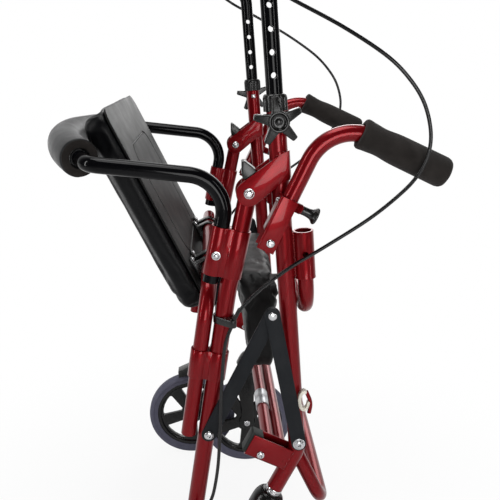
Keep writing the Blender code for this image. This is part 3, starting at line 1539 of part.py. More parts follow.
def buildCable(side):
    start = cableStart(side)
    route = [
        (start.x, SIDE_Y, start.z),
        (start.x - gripUp.x * 0.0080, SIDE_Y, start.z - gripUp.z * 0.0080),
        (start.x - gripUp.x * 0.0170, SIDE_Y, start.z - gripUp.z * 0.0170),
        (start.x - gripUp.x * 0.0300, SIDE_Y + 0.0040, start.z - gripUp.z * 0.0300),
        (0.0500, SIDE_Y + 0.0155, 1.0090),
        (0.0740, SIDE_Y + 0.0180, 0.9970),
        (0.1090, 0.2710, 0.9790),
        (0.1630, 0.2880, 0.9500),
        (0.2140, 0.3030, 0.9170),
        (0.2430, 0.3080, 0.8900),
        (0.2640, 0.3090, 0.8600),
        (0.2750, 0.3090, 0.8250),
        (0.2740, 0.3090, 0.7950),
        (0.2630, 0.3060, 0.7680),
        (0.2440, 0.3000, 0.7430),
        (0.2060, 0.2920, 0.7080),
        (0.1480, 0.2860, 0.6680),
        (0.1040, 0.2830, 0.6400),
        (0.0600, 0.2800, 0.6050),
        (0.0340, 0.2770, 0.5750),
        (0.0260, 0.2740, 0.5560),
        (0.0220, 0.2735, 0.5250),
        (0.0170, 0.2745, 0.4750),
        (0.0120, 0.2770, 0.4250),
        (0.0080, 0.2780, 0.3780),
        (0.0020, 0.2770, 0.3300),
        (-0.0060, 0.2765, 0.2880),
        (-0.0130, 0.2780, 0.2680),
        (-0.0170, 0.2800, 0.2545),
    ]
    points = [Vector((x, side * y, z)) for x, y, z in route]
    dense = []
    for index in range(len(points) - 1):
        a = points[max(index - 1, 0)]
        b = points[index]
        c = points[index + 1]
        d = points[min(index + 2, len(points) - 1)]
        for step in range(8):
            t = step / 8
            first = b * 2 + (c - a) * t
            second = (a * 2 - b * 5 + c * 4 - d) * t * t
            third = (b * 3 - a - c * 3 + d) * t * t * t
            dense.append((first + second + third) * 0.5)
    dense.append(points[-1])
    even = [points[0]] + resample(dense[16:], 50)
    curve = bpy.data.curves.new("brake_cable_" + sideName(side), "CURVE")
    curve.dimensions = "3D"
    curve.bevel_depth = CABLE_DIAMETER / 2
    curve.bevel_resolution = 1
    curve.use_fill_caps = True
    spline = curve.splines.new("POLY")
    spline.points.add(len(even) - 1)
    for index, point in enumerate(even):
        spline.points[index].co = (point.x - FLOOR_SHIFT_X, point.y, point.z, 1.0)
    made = bpy.data.objects.new("brake_cable_" + sideName(side), curve)
    bpy.context.scene.collection.objects.link(made)
    curve.materials.append(materialFor(CABLE_BLACK))


def resample(points, count):
    lengths = [0.0]
    for first, second in zip(points, points[1:]):
        lengths.append(lengths[-1] + (second - first).length)
    result = []
    index = 0
    for step in range(count):
        target = lengths[-1] * step / (count - 1)
        while index < len(points) - 2 and lengths[index + 1] < target:
            index += 1
        span = lengths[index + 1] - lengths[index]
        part = 0.0 if span < 1e-9 else (target - lengths[index]) / span
        result.append(points[index].lerp(points[index + 1], min(1.0, part)))
    return result


# Nylon pouch hung from the front cross tube on two webbing loops

def buildBag():
    bm = bmesh.new()
    centre = Vector((0.0620, 0.0, 0.5000))
    halfWidth = 0.1450
    halfHeight = 0.0850
    rows = [
        (0.0300, -0.0070),
        (0.0080, -0.0160),
        (0.0, -0.0080),
        (0.0, 0.0080),
        (0.0080, 0.0160),
        (0.0300, 0.0090),
        (0.0550, 0.0130),
    ]
    rings = []
    for number, (inset, depth) in enumerate(rows):
        ring = []
        for px, py in roundedRect(halfWidth - inset, halfHeight - inset, max(0.012, 0.034 - inset * 0.4), 4):
            ripple = 0.0030 * math.sin(px * 55 + number) * math.cos(py * 48 - number * 1.3)
            ring.append(bm.verts.new((centre.x + depth + ripple - py * 0.08, px, centre.z + py)))
        rings.append(ring)
    for first, second in zip(rings, rings[1:]):
        bridge(bm, first, second)
    bm.faces.new(rings[0])
    bm.faces.new(rings[-1])
    pouch = finish("bag", bm, NYLON_BLACK, 60.0)
    straps = bmesh.new()
    addBagStraps(straps)
    weld(pouch, straps, "bag_straps")


def addBagStraps(bm):
    tube = frontSocketPoint(FRONT_CROSS_Z, 0.0)
    bore = tubeRadius + 0.0006
    thick = 0.0016
    for y in (-0.0900, 0.0900):
        outer = []
        inner = []
        for index in range(12):
            turn = math.radians(162 - 300 * index / 11)
            outer.append((tube.x + (bore + thick) * math.cos(turn), tube.z + (bore + thick) * math.sin(turn)))
            inner.append((tube.x + bore * math.cos(turn), tube.z + bore * math.sin(turn)))
        tail = (0.0580, 0.5620)
        outer = [(tail[0], tail[1] + thick)] + outer
        inner = [tail] + inner
        outline = outer + inner[::-1]
        slab(bm, outline, [], (0, y, 0), (1, 0, 0), (0, 0, 1), (0, 1, 0), -0.0125, 0.0125)


for side in (-1, 1):
    buildFrontLeg(side)
    buildCollar(side)
    buildArmBracket(side)
    buildChannelPlug(side)
    buildHandle(side)
    buildKnob(side)
    buildArm(side)
    buildRearLeg(side)
    buildPivotBolt(side)
    buildLegPlug(side)
    buildLinks(side)
    buildCaster(side)
    rearAxle = Vector((rearLowerX(WHEEL_RADIUS), side * REAR_WHEEL_Y, WHEEL_RADIUS))
    buildWheel("rear_" + sideName(side), rearAxle, (0, 1, 0), (1, 0, 0))
    buildShoe(side)
    buildCable(side)

buildLowerTubes()
buildBand()
buildFrontCross()
buildFootBar()
buildClip()
buildRearCross()
buildBackrest()
buildSeat()
buildBag()
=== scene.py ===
import json
import math

import bpy
from mathutils import Matrix, Vector, noise


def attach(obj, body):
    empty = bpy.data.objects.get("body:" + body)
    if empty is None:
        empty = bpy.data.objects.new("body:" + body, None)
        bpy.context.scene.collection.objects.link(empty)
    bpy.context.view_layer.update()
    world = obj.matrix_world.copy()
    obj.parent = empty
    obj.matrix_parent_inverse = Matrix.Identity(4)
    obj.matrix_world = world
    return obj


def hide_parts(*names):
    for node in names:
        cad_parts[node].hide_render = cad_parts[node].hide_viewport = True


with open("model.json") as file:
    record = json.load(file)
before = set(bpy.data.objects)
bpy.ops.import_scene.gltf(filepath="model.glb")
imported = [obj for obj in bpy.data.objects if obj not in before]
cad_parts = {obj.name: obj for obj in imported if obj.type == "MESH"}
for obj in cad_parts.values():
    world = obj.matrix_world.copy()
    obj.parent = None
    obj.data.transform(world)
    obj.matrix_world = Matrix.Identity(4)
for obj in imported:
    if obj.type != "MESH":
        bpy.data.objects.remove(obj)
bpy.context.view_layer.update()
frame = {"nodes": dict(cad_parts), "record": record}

print("frame loaded")

# Main sizes of the folded frame, in metres, x counted from the same point as in the part

chassis = {
    "shiftX": 0.0287,
    "sideY": 0.2500,
    "legRadius": 0.0127,
    "tubeRadius": 0.0111,
    "pivot": (0.0491, 0.7385),
    "bend": (0.1229, 0.3400),
    "frontLean": 0.0750,
    "stemLeanDeg": 26.5,
    "stemLength": 0.0740,
    "knee": (0.0196, 0.5975),
    "rearLean": 0.1500,
    "crossZ": 0.5980,
    "gap": 0.0003,
}

sideY = chassis["sideY"]
legRadius = chassis["legRadius"]
tubeRadius = chassis["tubeRadius"]
nearY = -sideY


def spot(x, y, z):
    return Vector((x - chassis["shiftX"], y, z))


def legX(z):
    return chassis["bend"][0] - chassis["frontLean"] * (z - chassis["bend"][1])


def rearX(z):
    return chassis["knee"][0] + chassis["rearLean"] * (z - chassis["knee"][1])


stemLean = math.radians(chassis["stemLeanDeg"])
upLeg = Vector((-chassis["frontLean"], 0.0, 1.0)).normalized()
aheadOfLeg = Vector((upLeg.z, 0.0, -upLeg.x))
stemDown = Vector((-math.sin(stemLean), 0.0, -math.cos(stemLean)))
stemAhead = Vector((math.cos(stemLean), 0.0, -math.sin(stemLean)))
pivotPoint = spot(chassis["pivot"][0], nearY, chassis["pivot"][1])
kneePoint = spot(chassis["knee"][0], nearY, chassis["knee"][1])
rearUp = (pivotPoint - kneePoint).normalized()
rearUpBack = Vector((-rearUp.z, 0.0, rearUp.x))
rearDown = Vector((chassis["rearLean"], 0.0, 1.0)).normalized()
rearDownBack = Vector((-rearDown.z, 0.0, rearDown.x))
gripAlong = Vector((-math.cos(stemLean), 0.0, math.sin(stemLean)))
gripUnder = Vector((-math.sin(stemLean), 0.0, -math.cos(stemLean)))
outward = Vector((0.0, -1.0, 0.0))


# Modelling helpers

def pickOnly(piece):
    if bpy.context.mode != "OBJECT":
        bpy.ops.object.mode_set(mode="OBJECT")
    bpy.ops.object.select_all(action="DESELECT")
    piece.select_set(True)
    bpy.context.view_layer.objects.active = piece


def editAll(piece):
    pickOnly(piece)
    bpy.ops.object.mode_set(mode="EDIT")
    bpy.ops.mesh.select_mode(type="VERT")
    bpy.ops.mesh.select_all(action="SELECT")


def leaveEdit():
    bpy.ops.object.mode_set(mode="OBJECT")


def closeUp(piece):
    editAll(piece)
    bpy.ops.mesh.remove_doubles(threshold=0.000002)
    bpy.ops.mesh.delete_loose()
    bpy.ops.mesh.select_all(action="SELECT")
    bpy.ops.mesh.normals_make_consistent(inside=False)
    leaveEdit()


def applyModifier(piece, kind, **settings):
    pickOnly(piece)
    modifier = piece.modifiers.new(kind.title(), kind)
    for key, value in settings.items():
        setattr(modifier, key, value)
    bpy.ops.object.modifier_apply(modifier=modifier.name)


def roundEdges(piece, width, segments=2, angleDeg=35):
    applyModifier(piece, "BEVEL", width=width, segments=segments, limit_method="ANGLE",
                  angle_limit=math.radians(angleDeg), harden_normals=False)


def carve(piece, cutter, operation="DIFFERENCE"):
    applyModifier(piece, "BOOLEAN", operation=operation, solver="EXACT", object=cutter)
    bpy.data.objects.remove(cutter)


def joinUp(pieces):
    pickOnly(pieces[0])
    for piece in pieces:
        piece.select_set(True)
    bpy.ops.object.join()
    return bpy.context.object


def copyOf(piece):
    twin = piece.copy()
    twin.data = piece.data.copy()
    bpy.context.scene.collection.objects.link(twin)
    return twin


def smoothShade(piece, angleDeg=38):
    pickOnly(piece)
    bpy.ops.object.shade_smooth_by_angle(angle=math.radians(angleDeg))


# A profile of (radius, height) pairs spun round an axis

def turned(profile, centre, axis, steps=48):
    heading = Vector(axis).normalized()
    across = heading.orthogonal().normalized()
    bpy.ops.object.select_all(action="DESELECT")
    bpy.ops.mesh.primitive_circle_add(vertices=len(profile), fill_type="NOTHING")
    piece = bpy.context.object
    for vertex, (radius, height) in zip(piece.data.vertices, profile):
        vertex.co = Vector(centre) + heading * height + across * radius
    editAll(piece)
    bpy.ops.mesh.spin(steps=steps, angle=2 * math.pi, center=centre, axis=heading)
    leaveEdit()
    closeUp(piece)
    return piece


def rod(radius, low, high, centre, axis, steps=24):
    return turned([(0.0, low), (radius, low), (radius, high), (0.0, high)], centre, axis, steps)


# An outline in a plane, given a thickness

def plate(outline, origin, across, upward, through, low, high):
    origin, across, upward, through = Vector(origin), Vector(across), Vector(upward), Vector(through)
    bpy.ops.object.select_all(action="DESELECT")
    bpy.ops.mesh.primitive_circle_add(vertices=len(outline), fill_type="NGON")
    piece = bpy.context.object
    for vertex, (a, b) in zip(piece.data.vertices, outline):
        vertex.co = origin + across * a + upward * b + through * low
    editAll(piece)
    bpy.ops.mesh.extrude_region_move(TRANSFORM_OT_translate={"value": through * (high - low)})
    bpy.ops.mesh.select_all(action="SELECT")
    bpy.ops.mesh.normals_make_consistent(inside=False)
    leaveEdit()
    return piece


def cheekPair(outline, origin, across, upward, inner, outer, *edge):  # a plate each side of the middle
    cheeks = []
    for low, high in ((inner, outer), (-outer, -inner)):
        cheek = plate(outline, origin, across, upward, outward, low, high)
        roundEdges(cheek, *edge)
        cheeks.append(cheek)
    return cheeks


# A round bar or tube along a route; hollow gives an open tube its wall

def bentTube(route, radius, sides=40, hollow=0.0, radii=None, cyclic=False):
    bpy.ops.object.select_all(action="DESELECT")
    bpy.ops.curve.primitive_bezier_curve_add(location=(0, 0, 0))
    piece = bpy.context.object
    line = piece.data
    line.splines.clear()
    path = line.splines.new("POLY")
    path.points.add(len(route) - 1)
    for index, (point, place) in enumerate(zip(path.points, route)):
        point.co = (*place, 1.0)
        point.radius = radii[index] if radii else 1.0
    path.use_cyclic_u = cyclic
    line.dimensions = "3D"
    line.twist_mode = "MINIMUM"
    line.bevel_depth = radius
    line.bevel_resolution = sides // 2 - 2
    line.use_fill_caps = hollow <= 0.0 and not cyclic
    pickOnly(piece)
    bpy.ops.object.convert(target="MESH")
    piece = bpy.context.object
    closeUp(piece)
    if hollow > 0.0:
        applyModifier(piece, "SOLIDIFY", thickness=hollow, offset=-1.0, use_rim=True)
    return piece


def bendRoute(corners, radii, stepDeg=5.0):
    points = [Vector(corners[0])]
    for index in range(1, len(corners) - 1):
        before, here, after = (Vector(corners[index + step]) for step in (-1, 0, 1))
        into, out = (here - before).normalized(), (after - here).normalized()
        turn = into.angle(out)
        radius = radii[index - 1]
        if turn < 0.0001 or radius <= 0.0:
            points.append(here)
            continue
        start = here - into * radius * math.tan(turn / 2)
        normal = into.cross(out).normalized()
        centre = start + normal.cross(into) * radius
        steps = max(2, round(math.degrees(turn) / stepDeg))
        for step in range(steps + 1):
            points.append(centre + Matrix.Rotation(turn * step / steps, 3, normal) @ (start - centre))
    points.append(Vector(corners[-1]))
    return points


def ringOutline(centre, radius, count, start=0.0, sweep=360.0, tall=None):  # tall makes the ring an oval
    last = count if sweep >= 360.0 else count - 1
    turns = [math.radians(start + sweep * index / last) for index in range(count)]
    tall = tall or radius
    return [(centre[0] + radius * math.cos(turn), centre[1] + tall * math.sin(turn)) for turn in turns]


def ribbedOutline(count, high, low, every):
    points = []
    for index in range(count):
        turn = 2 * math.pi * index / count
        radius = high if index % every else low
        points.append((radius * math.cos(turn), radius * math.sin(turn)))
    return points


def polar(angleDeg, distance):
    return Vector((distance * math.cos(math.radians(angleDeg)), distance * math.sin(math.radians(angleDeg))))


def roundedBox(halfA, halfB, radius, perCorner=8):
    points = []
    for signA, signB, start in ((1, 1, 0), (-1, 1, 90), (-1, -1, 180), (1, -1, 270)):
        centre = (signA * (halfA - radius), signB * (halfB - radius))
        points += ringOutline(centre, radius, perCorner, start, 90.0)
    return points


def softPolygon(points, radius, stepDeg=15.0):
    ring = [Vector((a, b, 0.0)) for a, b in points]
    middle = (ring[-1] + ring[0]) / 2
    route = bendRoute([middle] + ring + [middle], [radius] * len(ring), stepDeg)
    return [(point.x, point.y) for point in route[:-1]]


def capsuleOutline(first, second, radius, count=14):
    heading = math.degrees(math.atan2(second[1] - first[1], second[0] - first[0]))
    return (ringOutline(first, radius, count, heading + 90, 180.0)
            + ringOutline(second, radius, count, heading - 90, 180.0))


# Shading, name, finish and body for a finished piece; a pair also gets its mirrored twin on the left

def place(piece, name, body, finish, replaced=(), smooth=None):
    if smooth:
        smoothShade(piece, smooth)
    pickOnly(piece)
    piece.name = name
    piece.data.name = name
    piece.data.materials.clear()
    piece.data.materials.append(finishes[finish])
    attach(piece, body)
    if replaced:
        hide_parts(*replaced)
    return piece


def placePair(piece, name, body, finish, replaced=(), smooth=None):
    if smooth:
        smoothShade(piece, smooth)
    twin = copyOf(piece)
    twin.data.transform(Matrix.Scale(-1.0, 4, (0.0, 1.0, 0.0)))
    twin.data.flip_normals()
    made = []
    for item, side in ((piece, "right"), (twin, "left")):
        itsBody = body + side if body.endswith("_") else body
        nodes = [node + side for node in replaced]
        made.append(place(item, name + side.title(), itsBody, finish, nodes))
    return made


# Camera at the photograph's viewing angle

viewpoint = {"place": (-0.0287, -1.1560, 0.9200), "pitchDeg": 16.23, "yawDeg": 3.23,
             "lens": 48.96, "sensor": 36.0}

bpy.ops.object.select_all(action="DESELECT")
bpy.ops.object.camera_add(location=viewpoint["place"],
                          rotation=(math.radians(90 - viewpoint["pitchDeg"]), 0.0,
                                    math.radians(-viewpoint["yawDeg"])))
camera = bpy.context.object
camera.name = "viewCamera"
camera.data.lens = viewpoint["lens"]
camera.data.sensor_width = viewpoint["sensor"]
bpy.context.scene.camera = camera

# Shader node helpers

def mathOf(tree, first, second, operation="ADD"):
    node = tree.nodes.new("ShaderNodeMath")
    node.operation = operation
    for socket, value in zip(node.inputs, (first, second)):
        if isinstance(value, (int, float)):
            socket.default_value = value
        else:
            tree.links.new(value, socket)
    return node.outputs[0]


def rangeOf(tree, value, low, high, toLow=0.0, toHigh=1.0, kind="LINEAR"):
    node = tree.nodes.new("ShaderNodeMapRange")
    node.interpolation_type = kind
    tree.links.new(value, node.inputs["Value"])
    for name, number in (("From Min", low), ("From Max", high), ("To Min", toLow), ("To Max", toHigh)):
        node.inputs[name].default_value = number
    return node.outputs["Result"]


def mixInto(tree, end, share, first, second):
    choose = tree.nodes.new("ShaderNodeMixShader")
    for socket, value in zip(choose.inputs, (share, first.outputs[0], second.outputs[0])):
        tree.links.new(value, socket)
    tree.links.new(choose.outputs[0], tree.nodes[end].inputs["Surface"])


# Studio: pale surroundings and floor, a wide lamp overhead, a strip lamp at each side, one lamp in front
# and one behind; each lamp's place, target, width, height and power

studio = {
    "ambient": 0.18,
    "ambientColour": (0.93, 0.95, 1.0, 1.0),
    "white": (1.0, 1.0, 1.0, 1.0),
    "dimRoom": 0.06,
    "surroundFade": (0.10, 0.92),
    "floorFade": (-0.20, 1.40),
    "floorZ": -0.0005,
    "floorHalf": 9.0,
    "floorColour": (0.86, 0.86, 0.86, 1.0),
    "floorRough": 0.90,
    "floorSpecular": 0.10,
    "glowReach": (0.20, 0.95),
    "glowUnder": 0.90,
    "lamps": (
        ("overheadLamp", (-0.15, -0.10, 2.60), (0.0, 0.0, 0.60), 1.40, 1.10, 27.0),
        ("leftStrip", (-1.90, -0.80, 1.30), (0.0, 0.0, 0.62), 0.14, 1.90, 14.0),
        ("rightStrip", (1.65, -1.35, 1.20), (0.0, 0.0, 0.60), 0.12, 1.80, 9.0),
        ("frontLamp", (0.25, -2.40, 0.80), (0.0, 0.0, 0.60), 0.90, 1.10, 20.0),
        ("backStrip", (0.60, 2.10, 1.60), (0.0, 0.0, 0.60), 1.20, 1.20, 14.0),
    ),
}


def seenBy(tree, *rays):
    path = tree.nodes.new("ShaderNodeLightPath")
    seen = path.outputs[rays[0]]
    for ray in rays[1:]:
        seen = mathOf(tree, seen, path.outputs[ray], "MAXIMUM")
    return seen


def seenDirectly(tree):
    return seenBy(tree, "Is Camera Ray", "Is Glossy Ray", "Is Transmission Ray")


def mirroredRoom(tree, coordinates, dimAt, whiteAt):  # white behind the object, dim behind the viewer
    where = tree.nodes.new("ShaderNodeTexCoord")
    parts = tree.nodes.new("ShaderNodeSeparateXYZ")
    tree.links.new(where.outputs[coordinates], parts.inputs[0])
    slope = rangeOf(tree, parts.outputs["Y"], dimAt, whiteAt, studio["dimRoom"], 1.0, "SMOOTHSTEP")
    return mathOf(tree, slope, seenBy(tree, "Is Camera Ray", "Is Transmission Ray"), "MAXIMUM")


def buildWorld():
    world = bpy.data.worlds.new("paleStudio")
    bpy.context.scene.world = world
    world.use_nodes = True
    tree = world.node_tree
    ambient = tree.nodes["Background"]
    ambient.inputs["Color"].default_value = studio["ambientColour"]
    ambient.inputs["Strength"].default_value = studio["ambient"]
    white = tree.nodes.new("ShaderNodeBackground")
    white.inputs["Color"].default_value = studio["white"]
    tree.links.new(mirroredRoom(tree, "Generated", *studio["surroundFade"]), white.inputs["Strength"])
    mixInto(tree, "World Output", seenDirectly(tree), ambient, white)


def buildFloor():
    bpy.ops.object.select_all(action="DESELECT")
    bpy.ops.mesh.primitive_plane_add(size=2 * studio["floorHalf"], location=(0, 0, studio["floorZ"]))
    floor = bpy.context.object
    floor.name = "studioFloor"
    material = bpy.data.materials.new("paleFloor")
    material.use_nodes = True
    tree = material.node_tree
    shader = tree.nodes["Principled BSDF"]
    shader.inputs["Base Color"].default_value = studio["floorColour"]
    shader.inputs["Roughness"].default_value = studio["floorRough"]
    shader.inputs["Specular IOR Level"].default_value = studio["floorSpecular"]
    where = tree.nodes.new("ShaderNodeTexCoord")
    length = tree.nodes.new("ShaderNodeVectorMath")
    length.operation = "LENGTH"
    tree.links.new(where.outputs["Object"], length.inputs[0])
    fade = rangeOf(tree, length.outputs["Value"], *studio["glowReach"], studio["glowUnder"], 1.0,
                   "SMOOTHSTEP")
    seen = mathOf(tree, seenDirectly(tree), fade, "MULTIPLY")
    share = mathOf(tree, seen, mirroredRoom(tree, "Object", *studio["floorFade"]), "MULTIPLY")
    glow = tree.nodes.new("ShaderNodeEmission")
    glow.inputs["Color"].default_value = studio["white"]
    glow.inputs["Strength"].default_value = 1.0
    mixInto(tree, "Material Output", share, shader, glow)
    floor.data.materials.append(material)


def buildLamps():
    for name, centre, target, width, height, power in studio["lamps"]:
        bpy.ops.object.light_add(type="AREA", location=centre)
        lamp = bpy.context.object
        lamp.name = name
        lamp.data.shape = "RECTANGLE"
        lamp.data.size, lamp.data.size_y = width, height
        lamp.data.energy = power
        lamp.rotation_mode = "QUATERNION"
        lamp.rotation_quaternion = (Vector(target) - Vector(centre)).to_track_quat("-Z", "Y")
        lamp.visible_camera = False


buildWorld()
buildFloor()
buildLamps()
bpy.context.scene.view_settings.view_transform = "Standard"
print("camera and studio ready")

# Surface patterns: each is a group that puts out the mask and the height which its function gives back

def patternGroup(pattern):
    group = bpy.data.node_groups.new(pattern.__name__, "ShaderNodeTree")
    for label, side, kind in (("Vector", "INPUT", "Vector"), ("Scale", "INPUT", "Float"),
                              ("Mask", "OUTPUT", "Float"), ("Height", "OUTPUT", "Float")):
        group.interface.new_socket(name=label, in_out=side, socket_type="NodeSocket" + kind)
    start, end = group.nodes.new("NodeGroupInput"), group.nodes.new("NodeGroupOutput")
    mask, height = pattern(group, start.outputs["Vector"], start.outputs["Scale"])
    group.links.new(mask, end.inputs["Mask"])
    group.links.new(height, end.inputs["Height"])
    return group


def noiseOf(group, vector, scale, detail=2.0, roughness=0.5, distortion=0.0):
    node = group.nodes.new("ShaderNodeTexNoise")
    group.links.new(vector, node.inputs["Vector"])
    if isinstance(scale, (int, float)):
        node.inputs["Scale"].default_value = scale
    else:
        group.links.new(scale, node.inputs["Scale"])
    node.inputs["Detail"].default_value = detail
    node.inputs["Roughness"].default_value = roughness
    node.inputs["Distortion"].default_value = distortion
    return node


def voronoiOf(group, vector, scale, feature="F1"):
    node = group.nodes.new("ShaderNodeTexVoronoi")
    node.feature = feature
    group.links.new(vector, node.inputs["Vector"])
    group.links.new(scale, node.inputs["Scale"])
    return node


def stretched(group, vector, x, y, z):
    node = group.nodes.new("ShaderNodeMapping")
    node.inputs["Scale"].default_value = (x, y, z)
    group.links.new(vector, node.inputs["Vector"])
    return node.outputs["Vector"]


def paintFlakes(group, vector, scale):  # small bright flakes under a slightly wavy clear coat
    flakes = voronoiOf(group, vector, scale)
    parted = group.nodes.new("ShaderNodeSeparateColor")
    group.links.new(flakes.outputs["Color"], parted.inputs[0])
    waves = noiseOf(group, vector, 140.0, 1.0)
    return rangeOf(group, parted.outputs[0], 0.55, 1.0), waves.outputs[0]


def mouldedGrain(group, vector, scale):  # spark-eroded texture of moulded plastic
    grain = noiseOf(group, vector, scale, 4.0, 0.65)
    broad = noiseOf(group, vector, 22.0, 3.0)
    return rangeOf(group, broad.outputs[0], 0.35, 0.70), grain.outputs[0]


def foamCells(group, vector, scale):  # open cells with a soft uneven skin
    cells = voronoiOf(group, vector, scale)
    fine = noiseOf(group, vector, 1900.0, 3.0, 0.7)
    broad = noiseOf(group, vector, 45.0, 2.0)
    height = mathOf(group, rangeOf(group, cells.outputs["Distance"], 0.0, 0.7, 0.0, 1.0),
                    mathOf(group, fine.outputs[0], 0.5, "MULTIPLY"))
    return rangeOf(group, broad.outputs[0], 0.35, 0.65), height


def leatherGrain(group, vector, scale):  # pebbled grain with shallow creases between the pebbles
    shift = noiseOf(group, vector, 260.0, 2.0)
    bent = group.nodes.new("ShaderNodeVectorMath")
    bent.operation = "MULTIPLY_ADD"
    group.links.new(shift.outputs["Color"], bent.inputs[0])
    bent.inputs[1].default_value = (0.0012, 0.0012, 0.0012)
    group.links.new(vector, bent.inputs[2])
    pebbles = voronoiOf(group, bent.outputs[0], scale, "DISTANCE_TO_EDGE")
    crease = rangeOf(group, pebbles.outputs["Distance"], 0.0, 0.16)
    broad = noiseOf(group, vector, 34.0, 3.0, 0.6)
    height = mathOf(group, crease, mathOf(group, broad.outputs[0], 0.6, "MULTIPLY"))
    return rangeOf(group, broad.outputs[0], 0.35, 0.7), height


def wovenCloth(group, vector, scale):  # plain weave, over and under, with slack patches
    threads = []
    for direction in ("Y", "Z"):
        wave = group.nodes.new("ShaderNodeTexWave")
        wave.wave_type = "BANDS"
        wave.bands_direction = direction
        group.links.new(vector, wave.inputs["Vector"])
        group.links.new(scale, wave.inputs["Scale"])
        wave.inputs["Distortion"].default_value = 0.4
        threads.append(wave.outputs["Fac"])
    weave = mathOf(group, threads[0], threads[1], "MULTIPLY")
    slack = noiseOf(group, vector, 60.0, 4.0, 0.6, 0.4)
    height = mathOf(group, weave, mathOf(group, slack.outputs[0], 1.5, "MULTIPLY"))
    return rangeOf(group, slack.outputs[0], 0.35, 0.7), height


def drawnSteel(group, vector, scale):  # fine lines of drawn and plated metal
    drawn = noiseOf(group, stretched(group, vector, 1.0, 0.12, 1.0), scale, 3.0, 0.7)
    blotch = noiseOf(group, vector, 90.0, 2.0)
    return rangeOf(group, blotch.outputs[0], 0.3, 0.7), drawn.outputs[0]


def rubberSkin(group, vector, scale):  # slightly bloomed rubber with a fine matt skin
    fine = noiseOf(group, vector, scale, 3.0, 0.6)
    bloom = noiseOf(group, vector, 38.0, 4.0, 0.65, 0.5)
    return rangeOf(group, bloom.outputs[0], 0.38, 0.72), fine.outputs[0]


def handlingMarks(group, vector, scale):  # dust and rubbed patches, the same on every finish
    patches = noiseOf(group, vector, scale, 5.0, 0.62, 0.3)
    specks = noiseOf(group, vector, 620.0, 2.0, 0.6)
    soft = rangeOf(group, patches.outputs[0], 0.45, 0.80)
    spotted = rangeOf(group, specks.outputs[0], 0.62, 0.78, 0.0, 0.6)
    return mathOf(group, soft, spotted, "MAXIMUM"), patches.outputs[0]


patterns = {name: patternGroup(pattern) for name, pattern in (
    ("flakes", paintFlakes), ("moulded", mouldedGrain), ("foam", foamCells), ("leather", leatherGrain),
    ("woven", wovenCloth), ("steel", drawnSteel), ("rubber", rubberSkin))}
marks = patternGroup(handlingMarks)

# Finishes: colour, accent and its share, pattern and its scale, roughness from and to, bump strength
# and depth, material slot, share of dust, and the shader's own constants

